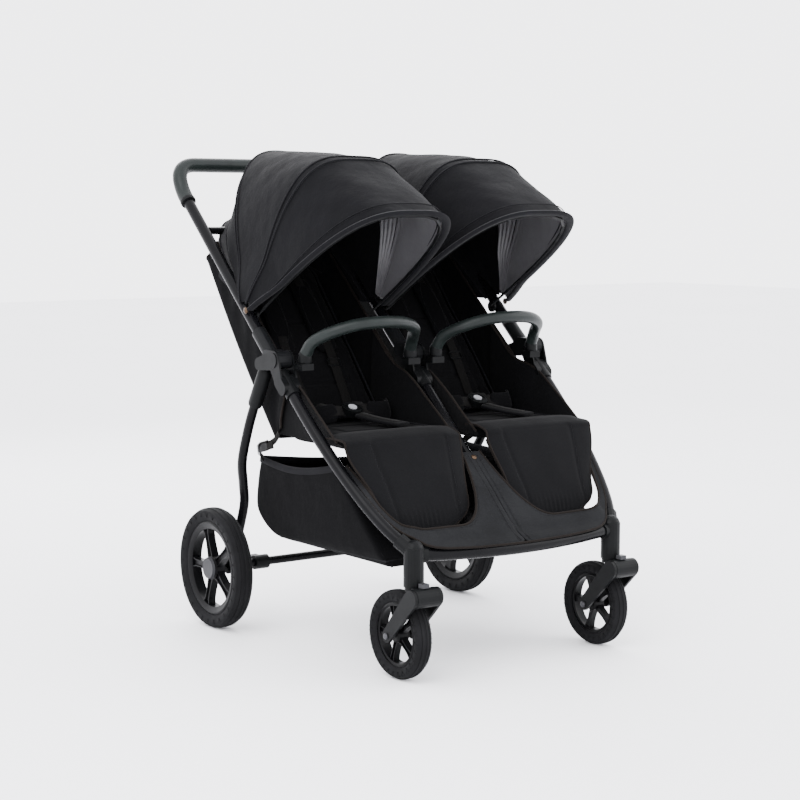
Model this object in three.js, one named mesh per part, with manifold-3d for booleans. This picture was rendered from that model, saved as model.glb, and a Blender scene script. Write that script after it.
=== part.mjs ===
// Side-by-side twin stroller. Millimetres, +Z up. The riders face -Y, so their left is +X.
// The ground is Z = 0 and the rear axle is at Y = REAR_AXLE_Y until the last lines, which move the
// whole object so that its origin is the middle of its footprint, on the ground.
import * as THREE from 'three';
import { mergeVertices } from 'three/addons/utils/BufferGeometryUtils.js';
import Module from 'manifold-3d';

// ---------------------------------------------------------------- driving dimensions
const GAP = 0.3; // between pieces that meet
const TUBE_R = 13; // main frame tubes
const TUBE_ANGLE = THREE.MathUtils.degToRad(41.9); // slope of the frame in side view
const COLUMN_X = 352; // side frame columns; the third column is at X = 0
const PIVOT_Y = 49; // fold pivot
const PIVOT_Z = 650;
const PIVOT_RISE = 21; // fold pivot above the tubes' centre line
const LOWER_SLEEVE_END = -90; // along the frame line, from the foot of the pivot
const UPPER_SLEEVE_END = 108;
const SLEEVE_R = 16.5;
const CHEEK_IN = 17; // fold cheeks, from the column's middle plane
const CHEEK_OUT = 21;
const TONGUE_HALF = 16.6;
const KNUCKLE_ROOM = 23.5; // space around the pivot in which the tongue turns
const TUBE_SOCKET = 36; // how far an upper tube reaches into its sleeve
const ARM_Z = [629, 643.4]; // bumper arms on the fold housings
const ARM_Y = [-6, 22];
const ARM_REACH = 14; // arm end beyond the bumper hinge
const ARM_WEB = [[5, 629], [52, 631], [52, 648], [20, 643.4]]; // Y, Z outline of the web behind an arm
const LEG_PIVOT = [40, -31]; // along and above the frame line
const LEG_X = 347; // middle of the leg's top run
const LEG_R = 11;
const LEG_SLEEVE = [0.22, 1]; // shares of the leg's top run
const LEG_FOOT_X = [293, 324];
const LEG_STUB_END = 368;
const CONNECTOR = [269, -335, 274]; // corner connector, left side
const TUBE_END_WAY = [0.46, 0.661, 0.593]; // direction of the left tube where it leaves the connector
const STEM_R = 21.5;
const STEM_BOTTOM = 204;
const CROSSBAR_R = 14;
const CROSSBAR_END = [239, -337, 268];
const CROSSBAR_PULL = [0, -383, 256]; // control point that bows the crossbar forward
const REAR_WHEEL_X = 353;
const REAR_AXLE_Y = 350;
const REAR_WHEEL_R = 141.4;
const REAR_TYRE_W = 46;
const FRONT_WHEEL_X = 269;
const FRONT_AXLE_Y = -286;
const FRONT_WHEEL_R = 94.4;
const FRONT_TYRE_W = 38;
const DAMPER = [-371, 186]; // Y and Z of the suspension cylinder
const DAMPER_R = 20.5;
const FORK_IN = 28.5; // fork arms, from the wheel's middle plane
const FORK_OUT = 35.5;
const HANDLE_TOP = [524, 1083]; // Y and Z of the push bar
const HANDLE_KNEE = 575; // along the frame line, where the side tubes turn up
const GRIP_START = 540;
const KNEE_BEND = 20;
const CORNER_BEND = 50;
const BACK_BAR = 440; // along the frame line
const SEAT_X = 176; // middle of one seat
const SEAT_HALF = 138;
const SEAT_Y = [-152, 98];
const SEAT_Z = [467, 499];
const BACK_PIVOT = [124, 486];
const BACK_ANGLE = THREE.MathUtils.degToRad(52);
const BACK_LENGTH = 470;
const BACK_HALF_THICK = 18;
const LEGREST_PIVOT = [-172, 486];
const LEGREST_ANGLE = THREE.MathUtils.degToRad(242.3);
const LEGREST_LENGTH = 200;
const LEGREST_THICK = 22;
const HOOD_AXIS = [186, 741];
const HOOD_X = 174.3;
const HOOD_HALF = 171.3;
const HOOD_SKIN = 4;
// each hoop of the hood: angle about the hood axis, height, and roundness exponent
const HOOD_HOOPS = [
  { angle: 149.4, height: 453, power: 3.1 },
  { angle: 115.3, height: 386, power: 3.4 },
  { angle: 64.5, height: 412, power: 2.3 },
  { angle: 50, height: 318, power: 3.2 },
];
const BOW_R = 3.5;
const BOW_INSET = 16;
const BASKET_HALF = 288;
const BASKET_SIDE = [[-262, 232], [154, 229], [284, 290], [258, 404], [-62, 418]]; // Y, Z corners
const BASKET_WALL = 3;
// outer edge of the footrest apron, left half: X and distance along the frame line
const APRON_EDGE = [[200, -540], [240, -526], [264, -505], [286, -476], [305, -440], [325, -364], [336, -300]];
const BUMPER_R = 13.5;
const BUMPER_HINGE = [316, 8]; // X and Y of the outer knuckle
const BUMPER_KNUCKLE_TOP = 668;

// ---------------------------------------------------------------- colours and finishes
const finish = (color, roughness, metalness) =>
  new THREE.MeshStandardMaterial({ color, roughness, metalness });
const paintedTube = finish(0x17181a, 0.35, 0.6);
const plastic = finish(0x1b1c1e, 0.6, 0);
const glossPlastic = finish(0x141416, 0.3, 0);
const leatherette = finish(0x232827, 0.45, 0);
const clothBlack = finish(0x131316, 0.95, 0);
const clothGrey = finish(0x3a3c40, 0.95, 0);
const tyreRubber = finish(0x1d1d1f, 0.85, 0);
const buttonGrey = finish(0x9a9a9c, 0.5, 0);
const steel = finish(0x8a8c90, 0.35, 0.9);

// ---------------------------------------------------------------- solid helpers
const wasm = await Module();
wasm.setup();
const vec = (p) => new THREE.Vector3(...p);

function toSolid(geometry) {
  const bare = new THREE.BufferGeometry();
  bare.setAttribute('position', geometry.getAttribute('position'));
  if (geometry.index) bare.setIndex(geometry.index);
  const merged = mergeVertices(bare, 1e-3);
  const mesh = new wasm.Mesh({
    numProp: 3,
    vertProperties: new Float32Array(merged.attributes.position.array),
    triVerts: new Uint32Array(merged.index.array),
  });
  return new wasm.Manifold(mesh);
}

function toGeometry(solid) {
  const mesh = solid.getMesh();
  const geometry = new THREE.BufferGeometry();
  geometry.setAttribute('position', new THREE.BufferAttribute(mesh.vertProperties, 3));
  geometry.setIndex(new THREE.BufferAttribute(mesh.triVerts, 1));
  return geometry;
}

const join = (...parts) => toGeometry(parts.map(toSolid).reduce((a, b) => a.add(b)));
const cut = (whole, ...tools) =>
  toGeometry(tools.map(toSolid).reduce((a, b) => a.subtract(b), toSolid(whole)));

function mirrored(geometry) {
  const copy = geometry.clone().applyMatrix4(new THREE.Matrix4().makeScale(-1, 1, 1));
  const order = copy.index ? Array.from(copy.index.array)
    : Array.from({ length: copy.attributes.position.count }, (_, i) => i);
  for (let i = 0; i < order.length; i += 3) [order[i], order[i + 1]] = [order[i + 1], order[i]];
  copy.setIndex(order);
  return copy;
}

function ngon(radius, sides) {
  const corner = (i) => (2 * Math.PI * (i + 0.5)) / sides;
  const points = Array.from({ length: sides }, (_, i) =>
    new THREE.Vector2(radius * Math.cos(corner(i)), radius * Math.sin(corner(i))));
  return new THREE.Shape(points);
}

// a round bar or, with an inner radius, a round sleeve along a curve
function pipe(curve, radius, steps, sides = 10, inner = 0) {
  const section = ngon(radius, sides);
  if (inner) section.holes.push(ngon(inner, sides));
  return new THREE.ExtrudeGeometry(section, { extrudePath: curve, steps, bevelEnabled: false });
}

function rod(from, to, radius, sides = 16, endRadius = radius) {
  const a = vec(from);
  const b = vec(to);
  const axis = b.clone().sub(a);
  const geometry = new THREE.CylinderGeometry(endRadius, radius, axis.length(), sides);
  const turn = new THREE.Quaternion().setFromUnitVectors(vec([0, 1, 0]), axis.normalize());
  geometry.applyQuaternion(turn);
  const middle = a.add(b).multiplyScalar(0.5);
  return geometry.translate(middle.x, middle.y, middle.z);
}

function block(low, high) {
  const size = high.map((h, i) => h - low[i]);
  return new THREE.BoxGeometry(...size)
    .translate(...high.map((h, i) => (h + low[i]) / 2));
}

// a side-view outline in Y and Z, given thickness from x0 to x1
function slab(outline, x0, x1, curveSegments = 5) {
  const shape = outline instanceof THREE.Shape ? outline
    : new THREE.Shape(outline.map(([y, z]) => new THREE.Vector2(y, z)));
  const geometry = new THREE.ExtrudeGeometry(shape,
    { depth: x1 - x0, bevelEnabled: false, curveSegments });
  geometry.applyMatrix4(new THREE.Matrix4().makeBasis(
    vec([0, 1, 0]), vec([0, 0, 1]), vec([1, 0, 0])));
  return geometry.translate(x0, 0, 0);
}

// the outline around two discs
function linkOutline(a, radiusA, b, radiusB) {
  const way = Math.atan2(b[1] - a[1], b[0] - a[0]);
  const reach = Math.hypot(b[0] - a[0], b[1] - a[1]);
  const open = Math.acos((radiusA - radiusB) / reach);
  const shape = new THREE.Shape();
  shape.absarc(...a, radiusA, way + open, way - open + 2 * Math.PI, false);
  shape.absarc(...b, radiusB, way - open, way + open, false);
  shape.closePath();
  return shape;
}

// a point given along and above the frame line
function onFrame(along, above) {
  const c = Math.cos(TUBE_ANGLE);
  const s = Math.sin(TUBE_ANGLE);
  const up = above - PIVOT_RISE;
  return [PIVOT_Y + along * c - up * s, PIVOT_Z + along * s + up * c];
}

const stroller = new THREE.Group();

function add(name, geometry, material, parent = stroller) {
  const mesh = new THREE.Mesh(geometry, material);
  mesh.name = name;
  parent.add(mesh);
  return mesh;
}

// a left piece and its mirror image
function addPair(name, geometry, material, parent = stroller) {
  add(`${name}_left`, geometry, material, parent);
  add(`${name}_right`, mirrored(geometry), material, parent);
}

// ---------------------------------------------------------------- front frame
const bendPlane = (x, along, above = 0) => [x, ...onFrame(along, above)];

function frontTubes() {
  const top = vec(bendPlane(COLUMN_X, LOWER_SLEEVE_END - GAP));
  const endWay = vec(TUBE_END_WAY);
  const end = vec(CONNECTOR).addScaledVector(endWay, 42);
  const curve = new THREE.CubicBezierCurve3(top, vec(bendPlane(COLUMN_X, -240)),
    end.clone().addScaledVector(endWay, 90), end);
  addPair('front_tube', pipe(curve, TUBE_R, 10, 10), paintedTube);
  const centre = rod(bendPlane(0, LOWER_SLEEVE_END - GAP), bendPlane(0, -548), TUBE_R, 12);
  add('front_tube_center', centre, paintedTube);
}

function frontCrossbar() {
  const [x, y, z] = CROSSBAR_END;
  const curve = new THREE.QuadraticBezierCurve3(
    vec([-x, y, z]), vec(CROSSBAR_PULL), vec([x, y, z]));
  add('front_crossbar', pipe(curve, CROSSBAR_R, 14, 12), paintedTube);
}

function cornerConnectors() {
  const [x, y, z] = CONNECTOR;
  const tubeWay = vec(TUBE_END_WAY);
  const tubeEnd = vec(CONNECTOR).addScaledVector(tubeWay, 42 - GAP).toArray();
  const barEnd = vec(CROSSBAR_END);
  const barWay = barEnd.clone().sub(vec(CROSSBAR_PULL)).normalize();
  const barFace = barEnd.clone().addScaledVector(barWay, GAP).toArray();
  const barRoot = barEnd.clone().addScaledVector(barWay, 32).toArray();
  const stem = rod([x, y, STEM_BOTTOM], [x, y, z + 10], STEM_R, 20);
  const crown = new THREE.SphereGeometry(STEM_R, 20, 8).translate(x, y, z + 6);
  const solid = join(stem, crown, rod([x, y, z], tubeEnd, 17, 16), rod(barRoot, barFace, 17, 16));
  const bore = rod([x, y, STEM_BOTTOM - 1], [x, y, STEM_BOTTOM + 46], 6.5, 12);
  addPair('corner_connector', cut(solid, bore), plastic);
}

// the lower half of a fold joint, around the column's own middle plane
function foldHousing(withLeg) {
  const pivot = [PIVOT_Y, PIVOT_Z];
  const cheekFoot = onFrame(-48, 0);
  const legPivot = onFrame(...LEG_PIVOT);
  const sleeve = rod([0, ...onFrame(-14, 0)], [0, ...onFrame(LOWER_SLEEVE_END, 0)], SLEEVE_R, 20);
  const belly = slab(linkOutline(onFrame(-44, 0), 15, onFrame(-66, 0), 15), -CHEEK_OUT, CHEEK_OUT);
  const cheekOutlines = [linkOutline(pivot, 21.5, cheekFoot, 14)];
  if (withLeg) cheekOutlines.push(linkOutline(pivot, 21.5, legPivot, 14));
  const cheeks = cheekOutlines.flatMap((outline) =>
    [slab(outline, CHEEK_IN, CHEEK_OUT), slab(outline, -CHEEK_OUT, -CHEEK_IN)]);
  const knuckleRoom = rod([-CHEEK_IN, ...pivot], [CHEEK_IN, ...pivot], KNUCKLE_ROOM, 24);
  const body = cut(join(sleeve, belly), knuckleRoom);
  const cap = rod([CHEEK_OUT - 1, ...pivot], [CHEEK_OUT + 2, ...pivot], 16.5, 24);
  return withLeg ? join(body, ...cheeks, cap) : join(body, ...cheeks);
}

function foldHousings() {
  const side = foldHousing(true).translate(COLUMN_X, 0, 0);
  const cheekFace = COLUMN_X - CHEEK_OUT;
  const arm = block([BUMPER_HINGE[0] - ARM_REACH, ARM_Y[0], ARM_Z[0]], [cheekFace + 1, ARM_Y[1], ARM_Z[1]]);
  const web = slab(ARM_WEB, cheekFace - 6, cheekFace + 2);
  addPair('fold_housing', join(side, arm, web), plastic);
  const innerX = 2 * SEAT_X - BUMPER_HINGE[0];
  // two arms, one from each cheek: the folded upper column passes between them
  const middleArm = block([CHEEK_IN, ARM_Y[0], ARM_Z[0]], [innerX + ARM_REACH, ARM_Y[1], ARM_Z[1]]);
  const middleWeb = slab(ARM_WEB, CHEEK_OUT - 2, CHEEK_OUT + 6);
  const middleArms = [middleArm, middleWeb, mirrored(middleArm), mirrored(middleWeb)];
  add('fold_housing_center', join(foldHousing(false), ...middleArms), plastic);
}

// ---------------------------------------------------------------- handle frame
function upperHousing() {
  const pivot = [PIVOT_Y, PIVOT_Z];
  const tongue = slab(linkOutline(pivot, 20, onFrame(34, 0), 14), -TONGUE_HALF, TONGUE_HALF);
  const sleeve = rod([0, ...onFrame(24, 0)], [0, ...onFrame(UPPER_SLEEVE_END, 0)], SLEEVE_R, 20);
  const socket = rod([0, ...onFrame(UPPER_SLEEVE_END - TUBE_SOCKET - 2, 0)],
    [0, ...onFrame(UPPER_SLEEVE_END + 1, 0)], TUBE_R + 0.8, 16);
  return cut(join(tongue, sleeve), socket);
}

// straight runs joined by round bends; each bend starts its own distance before its corner
function bentPath(points, bends) {
  const path = new THREE.CurvePath();
  const corners = points.map(vec);
  let from = corners[0];
  for (let i = 1; i < corners.length - 1; i += 1) {
    const back = corners[i - 1].clone().sub(corners[i]).setLength(bends[i - 1]).add(corners[i]);
    const on = corners[i + 1].clone().sub(corners[i]).setLength(bends[i - 1]).add(corners[i]);
    path.add(new THREE.LineCurve3(from, back));
    path.add(new THREE.QuadraticBezierCurve3(back, corners[i], on));
    from = on;
  }
  path.add(new THREE.LineCurve3(from, corners.at(-1)));
  return path;
}

// the push bar's route, starting on both sides at the same distance along the frame line
function pushBarRoute(start) {
  const half = (x) => [[x, ...onFrame(start, 0)], [x, ...onFrame(HANDLE_KNEE, 0)], [x, ...HANDLE_TOP]];
  const points = [...half(-COLUMN_X), ...half(COLUMN_X).reverse()];
  return bentPath(points, [KNEE_BEND, CORNER_BEND, CORNER_BEND, KNEE_BEND]);
}

function handleFrame() {
  addPair('upper_housing', upperHousing().translate(COLUMN_X, 0, 0), plastic);
  add('upper_housing_center', upperHousing(), plastic);
  const start = UPPER_SLEEVE_END - TUBE_SOCKET;
  add('handle_tube', pipe(pushBarRoute(start), TUBE_R, 60, 8), paintedTube);
  add('handle_grip', pipe(pushBarRoute(GRIP_START), 17.5, 36, 8, 15.9), leatherette);
  const centre = rod([0, ...onFrame(start, 0)], [0, ...onFrame(BACK_BAR - 11, 0)], TUBE_R, 12);
  add('upper_tube_center', centre, paintedTube);
  const back = onFrame(BACK_BAR, 0);
  const barEnd = COLUMN_X - TUBE_R - 0.6;
  add('back_crossbar', rod([-barEnd, ...back], [barEnd, ...back], 9, 12), paintedTube);
}

// ---------------------------------------------------------------- rear frame
function rearFrame() {
  const top = onFrame(...LEG_PIVOT);
  const bend = [LEG_X, 176, 534];
  const route = [[LEG_X, ...top], bend, [346, 208, 474], [342, 240, 404],
    [322, 270, 345], [308, 292, 296], [307, 320, 226], [307, REAR_AXLE_Y, REAR_WHEEL_R + 10]];
  const curve = new THREE.CatmullRomCurve3(route.map(vec), false, 'centripetal');
  const tube = pipe(curve, LEG_R, 18, 8);
  const knuckle = rod([COLUMN_X - TONGUE_HALF, ...top], [COLUMN_X + TONGUE_HALF, ...top], 12.5, 20);
  const share = (t) => vec([LEG_X, ...top]).lerp(vec(bend), t).toArray();
  const sleeve = rod(share(LEG_SLEEVE[0]), share(LEG_SLEEVE[1]), SLEEVE_R, 18);
  const onAxle = (from, to, radius, sides) =>
    rod([from, REAR_AXLE_Y, REAR_WHEEL_R], [to, REAR_AXLE_Y, REAR_WHEEL_R], radius, sides);
  const foot = onAxle(...LEG_FOOT_X, 19, 20);
  const stub = onAxle(LEG_FOOT_X[1] - 4, LEG_STUB_END, 6, 14);
  addPair('rear_leg', join(tube, knuckle, sleeve, foot, stub), paintedTube);
  const axleEnd = LEG_FOOT_X[0] - GAP;
  add('rear_axle_tube', onAxle(-axleEnd, axleEnd, 10, 14), paintedTube);
  const ring = onAxle(-250, -214, 17, 20);
  const paddle = block([-256, REAR_AXLE_Y + 12, REAR_WHEEL_R - 2],
    [-208, REAR_AXLE_Y + 62, REAR_WHEEL_R + 7]);
  const room = onAxle(-260, -200, 10.6, 20);
  add('brake_pedal', cut(join(ring, paddle), room), plastic);
}

// ---------------------------------------------------------------- wheels
function lathed(profile, segments) {
  const points = profile.map(([r, x]) => new THREE.Vector2(r, x));
  points.push(points[0].clone());
  return new THREE.LatheGeometry(points, segments).rotateZ(-Math.PI / 2);
}

function tyre(radius, width, seat, segments) {
  const half = width / 2;
  return lathed([[seat, -half * 0.62], [radius - 10, -half],
    [radius - 2.5, -half * 0.6], [radius, -half * 0.18], [radius, half * 0.18],
    [radius - 2.5, half * 0.6], [radius - 10, half], [seat, half * 0.62]], segments);
}

function rim(outer, inner, width, hubR, hubHalf, bore, segments) {
  const half = width / 2;
  const ring = lathed([[inner, -half * 0.7], [outer, -half], [outer, half], [inner, half * 0.7]], segments);
  const hub = rod([-hubHalf, 0, 0], [hubHalf, 0, 0], hubR, 24);
  const spokes = Array.from({ length: 5 }, (_, i) => {
    const turn = (2 * Math.PI * i) / 5;
    const spoke = slab([[hubR * 0.6, -hubR * 0.5], [inner + 4, -hubR * 0.34],
      [inner + 4, hubR * 0.34], [hubR * 0.6, hubR * 0.5]], -half * 0.45, half * 0.62);
    return spoke.rotateX(turn);
  });
  return cut(join(ring, hub, ...spokes), rod([-hubHalf - 1, 0, 0], [hubHalf + 1, 0, 0], bore, 14));
}

function rearWheels() {
  const rimShape = rim(109.5, 92, 34, 27, 15.5, 6.5, 32);
  const tyreShape = tyre(REAR_WHEEL_R, REAR_TYRE_W, 109.9, 32);
  const cap = rod([15.9, 0, 0], [22, 0, 0], 26.5, 24, 24);
  for (const [side, sign] of [['left', 1], ['right', -1]]) {
    const wheel = new THREE.Group();
    wheel.position.set(sign * REAR_WHEEL_X, REAR_AXLE_Y, REAR_WHEEL_R);
    add(`rear_rim_${side}`, sign > 0 ? rimShape : mirrored(rimShape), glossPlastic, wheel);
    add(`rear_tyre_${side}`, tyreShape.clone(), tyreRubber, wheel);
    add(`hub_cap_${side}`, sign > 0 ? cap : mirrored(cap), buttonGrey, wheel);
    stroller.add(wheel);
  }
}

function casters() {
  const rimShape = rim(68, 60.5, 28, 17, 15, 5.6, 28);
  const tyreShape = tyre(FRONT_WHEEL_R, FRONT_TYRE_W, 68.4, 28);
  const [dy, dz] = DAMPER;
  const stemY = CONNECTOR[1];
  const cylinder = rod([-27.8, dy, dz], [27.8, dy, dz], DAMPER_R, 24);
  const neck = rod([0, stemY, 195], [0, stemY, STEM_BOTTOM - GAP], 19, 20);
  const bridge = block([-15, dy, 195], [15, stemY, STEM_BOTTOM - GAP]);
  const kingpin = rod([0, stemY, 200], [0, stemY, STEM_BOTTOM + 42], 6, 12);
  const head = join(cylinder, neck, bridge, kingpin);
  const armOutline = linkOutline([dy, dz], 20, [FRONT_AXLE_Y, FRONT_WHEEL_R], 14);
  const axle = rod([-FORK_OUT - 2, FRONT_AXLE_Y, FRONT_WHEEL_R],
    [FORK_OUT + 2, FRONT_AXLE_Y, FRONT_WHEEL_R], 5, 14);
  const fork = join(slab(armOutline, FORK_IN, FORK_OUT), slab(armOutline, -FORK_OUT, -FORK_IN), axle);
  const lock = block([-8, dy - 8, DAMPER[1] + DAMPER_R + 0.5], [8, dy + 8, DAMPER[1] + DAMPER_R + 9]);
  for (const [side, sign] of [['left', 1], ['right', -1]]) {
    const caster = new THREE.Group();
    caster.position.x = sign * FRONT_WHEEL_X;
    add(`swivel_head_${side}`, head.clone(), plastic, caster);
    add(`front_fork_${side}`, fork.clone(), plastic, caster);
    add(`swivel_lock_${side}`, lock.clone(), buttonGrey, caster);
    const wheel = new THREE.Group();
    wheel.position.set(0, FRONT_AXLE_Y, FRONT_WHEEL_R);
    add(`front_rim_${side}`, rimShape.clone(), glossPlastic, wheel);
    add(`front_tyre_${side}`, tyreShape.clone(), tyreRubber, wheel);
    caster.add(wheel);
    stroller.add(caster);
  }
}

// ---------------------------------------------------------------- seats
function roundedSlab(half, low, high, corner, depth) {
  const shape = new THREE.Shape();
  shape.moveTo(-half, low + corner);
  shape.quadraticCurveTo(-half, low, -half + corner, low);
  shape.lineTo(half - corner, low);
  shape.quadraticCurveTo(half, low, half, low + corner);
  shape.lineTo(half - 14, high - corner);
  shape.quadraticCurveTo(half - 16, high, half - 16 - corner, high);
  shape.lineTo(-half + 16 + corner, high);
  shape.quadraticCurveTo(-half + 16, high, -half + 14, high - corner);
  return new THREE.ExtrudeGeometry(shape, { depth, bevelEnabled: false, curveSegments: 5 });
}

function seats() {
  const base = block([SEAT_X - SEAT_HALF, SEAT_Y[0], SEAT_Z[0]], [SEAT_X + SEAT_HALF, SEAT_Y[1], SEAT_Z[1]]);
  addPair('seat_pad', base, clothBlack);
  const [py, pz] = BACK_PIVOT;
  addPair('back_hinge_bar', rod([SEAT_X - SEAT_HALF + 4, py, pz],
    [SEAT_X + SEAT_HALF - 4, py, pz], 5, 12), steel);
  const back = roundedSlab(SEAT_HALF, 10, BACK_LENGTH, 30, 2 * BACK_HALF_THICK);
  back.translate(0, 0, -BACK_HALF_THICK);
  back.rotateX(BACK_ANGLE).translate(SEAT_X, py, pz);
  addPair('backrest', back, clothBlack);
}

function legrests() {
  const half = SEAT_HALF;
  const shape = new THREE.Shape();
  shape.moveTo(-half, 10);
  shape.lineTo(half, 10);
  shape.lineTo(half - 8, LEGREST_LENGTH * 0.35);
  shape.lineTo(half - 24, LEGREST_LENGTH * 0.62);
  shape.quadraticCurveTo(half - 34, LEGREST_LENGTH, half - 72, LEGREST_LENGTH);
  shape.lineTo(-half + 72, LEGREST_LENGTH);
  shape.quadraticCurveTo(-half + 34, LEGREST_LENGTH, -half + 24, LEGREST_LENGTH * 0.62);
  shape.lineTo(-half + 8, LEGREST_LENGTH * 0.35);
  const pad = new THREE.ExtrudeGeometry(shape,
    { depth: LEGREST_THICK, bevelEnabled: false, curveSegments: 8 });
  pad.rotateX(LEGREST_ANGLE).translate(SEAT_X, ...LEGREST_PIVOT);
  addPair('legrest', pad, clothBlack);
}

function buckles() {
  const place = (g) => g.rotateX(THREE.MathUtils.degToRad(24)).translate(SEAT_X, 36, 530);
  const shell = cut(rod([0, 0, -8], [0, 0, 8], 24, 20), rod([0, 0, 3], [0, 0, 9], 10.5, 16));
  addPair('buckle', place(shell), plastic);
  addPair('buckle_button', place(rod([0, 0, 6.2], [0, 0, 10], 10, 16)), buttonGrey);
}

// ---------------------------------------------------------------- bumper bars
function bumperBars() {
  const [hx, hy] = BUMPER_HINGE;
  const half = [[hx, hy, 662], [hx - 8, hy - 22, 692], [hx - 34, -55, 715], [hx - 80, -82, 730]];
  const middle = [[SEAT_X, -91, 734]];
  const other = half.map(([x, y, z]) => [2 * SEAT_X - x, y, z]).reverse();
  const curve = new THREE.CatmullRomCurve3([...half, ...middle, ...other].map(vec), false, 'centripetal');
  const knuckle = (x) => rod([x, hy, ARM_Z[1] + GAP], [x, hy, BUMPER_KNUCKLE_TOP], BUMPER_R, 18);
  const bar = join(pipe(curve, BUMPER_R, 18, 10), knuckle(hx), knuckle(2 * SEAT_X - hx));
  addPair('bumper_bar', bar, leatherette);
}

// ---------------------------------------------------------------- hoods
const radians = THREE.MathUtils.degToRad;

// height and roundness of the hood at an angle: between two hoops the cloth is drawn nearly flat
function hoodSection(angle) {
  const i = HOOD_HOOPS.findIndex((hoop, k) => k > 0 && angle >= hoop.angle - 1e-9);
  const a = HOOD_HOOPS[i - 1];
  const b = HOOD_HOOPS[i];
  const t = (a.angle - angle) / (a.angle - b.angle);
  const round = a.height + (b.height - a.height) * t;
  const flat = (a.height * b.height * Math.sin(radians(a.angle - b.angle)))
    / (a.height * Math.sin(radians(a.angle - angle)) + b.height * Math.sin(radians(angle - b.angle)));
  return { height: round * 0.3 + flat * 0.7, power: a.power + (b.power - a.power) * t };
}

function hoopPoint(centre, half, height, power, angle, t) {
  const side = Math.cos(t);
  const x = centre + half * Math.sign(side) * Math.abs(side) ** (2 / power);
  const r = height * Math.sin(t) ** (2 / power);
  return [x, HOOD_AXIS[0] + r * Math.cos(angle), HOOD_AXIS[1] + r * Math.sin(angle)];
}

function hoodCloth() {
  const panels = [[149.4, 115.3, 3], [115.3, 64.5, 4], [64.5, 50, 2]];
  const angles = panels.flatMap(([a, b, n]) => Array.from({ length: n }, (_, i) => a + ((b - a) * i) / n));
  angles.push(50);
  const across = 16;
  const clearOfTube = TUBE_R + 8;
  const skin = (inset) => angles.map((degrees) => {
    const { height, power } = hoodSection(degrees);
    const angle = radians(degrees);
    const lowest = clearOfTube / Math.sin(angle - TUBE_ANGLE);
    const first = Math.asin((lowest / (height - inset)) ** (power / 2));
    return Array.from({ length: across + 1 }, (_, i) => {
      const t = first + ((Math.PI - 2 * first) * i) / across;
      return hoopPoint(HOOD_X, HOOD_HALF - inset, height - inset, power, angle, t);
    });
  });
  const sheets = [skin(0), skin(HOOD_SKIN)];
  const rows = angles.length;
  const columns = across + 1;
  const positions = sheets.flat(3);
  const id = (s, i, j) => s * rows * columns + i * columns + j;
  const faces = [];
  const quad = (a, b, c, d) => faces.push(a, c, b, a, d, c);
  for (let i = 0; i < rows - 1; i += 1) {
    for (let j = 0; j < across; j += 1) {
      quad(id(0, i, j), id(0, i, j + 1), id(0, i + 1, j + 1), id(0, i + 1, j));
      quad(id(1, i, j), id(1, i + 1, j), id(1, i + 1, j + 1), id(1, i, j + 1));
    }
    quad(id(0, i, 0), id(0, i + 1, 0), id(1, i + 1, 0), id(1, i, 0));
    quad(id(0, i, across), id(1, i, across), id(1, i + 1, across), id(0, i + 1, across));
  }
  for (let j = 0; j < across; j += 1) {
    quad(id(0, 0, j), id(1, 0, j), id(1, 0, j + 1), id(0, 0, j + 1));
    quad(id(0, rows - 1, j), id(0, rows - 1, j + 1), id(1, rows - 1, j + 1), id(1, rows - 1, j));
  }
  const geometry = new THREE.BufferGeometry();
  geometry.setAttribute('position', new THREE.Float32BufferAttribute(positions, 3));
  geometry.setIndex(faces);
  return geometry;
}

function hoods() {
  addPair('hood_cloth', hoodCloth(), clothBlack);
  const front = HOOD_HOOPS[0];
  const first = Math.asin((7 / front.height) ** (front.power / 2));
  const points = Array.from({ length: 25 }, (_, i) => {
    const t = first + ((Math.PI - 2 * first) * i) / 24;
    return vec(hoopPoint(HOOD_X, HOOD_HALF - BOW_INSET, front.height - BOW_INSET, front.power,
      radians(front.angle), t));
  });
  const curve = new THREE.CatmullRomCurve3(points, false, 'centripetal');
  addPair('hood_bow', pipe(curve, BOW_R, 26, 6), plastic);
  const outer = HOOD_X + HOOD_HALF - BOW_INSET + BOW_R;
  const hub = rod([outer + 0.5, ...HOOD_AXIS], [COLUMN_X - TUBE_R - 0.4, ...HOOD_AXIS], 14, 20);
  addPair('hood_hub', hub, plastic);
}

// ---------------------------------------------------------------- footrest and basket
// an outline in X and distance along the frame line, lying parallel to the frame
function alongFrameSlab(outline, above, thick, curveSegments = 6) {
  const shape = outline instanceof THREE.Shape ? outline
    : new THREE.Shape(outline.map(([x, s]) => new THREE.Vector2(x, s)));
  const geometry = new THREE.ExtrudeGeometry(shape, { depth: thick, bevelEnabled: false, curveSegments });
  geometry.rotateX(TUBE_ANGLE);
  return geometry.translate(0, ...onFrame(0, above));
}

function footrest() {
  const sill = -494;
  const top = -300;
  const shape = new THREE.Shape();
  shape.moveTo(0, -545);
  APRON_EDGE.forEach(([x, s]) => shape.lineTo(x, s));
  shape.lineTo(322, top);
  shape.lineTo(300, -400);
  shape.quadraticCurveTo(282, sill, 215, sill);
  shape.lineTo(130, sill);
  shape.quadraticCurveTo(52, sill, 24, top);
  shape.lineTo(-24, top);
  shape.quadraticCurveTo(-52, sill, -130, sill);
  shape.lineTo(-215, sill);
  shape.quadraticCurveTo(-282, sill, -300, -400);
  shape.lineTo(-322, top);
  APRON_EDGE.toReversed().forEach(([x, s]) => shape.lineTo(-x, s));
  add('footrest_apron', alongFrameSlab(shape, 15, 4), clothGrey);
  const panel = [[-225, -495], [225, -495], [262, -340], [-262, -340]];
  add('footwell_panel', alongFrameSlab(panel, -68, 4), glossPlastic);
}

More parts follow.
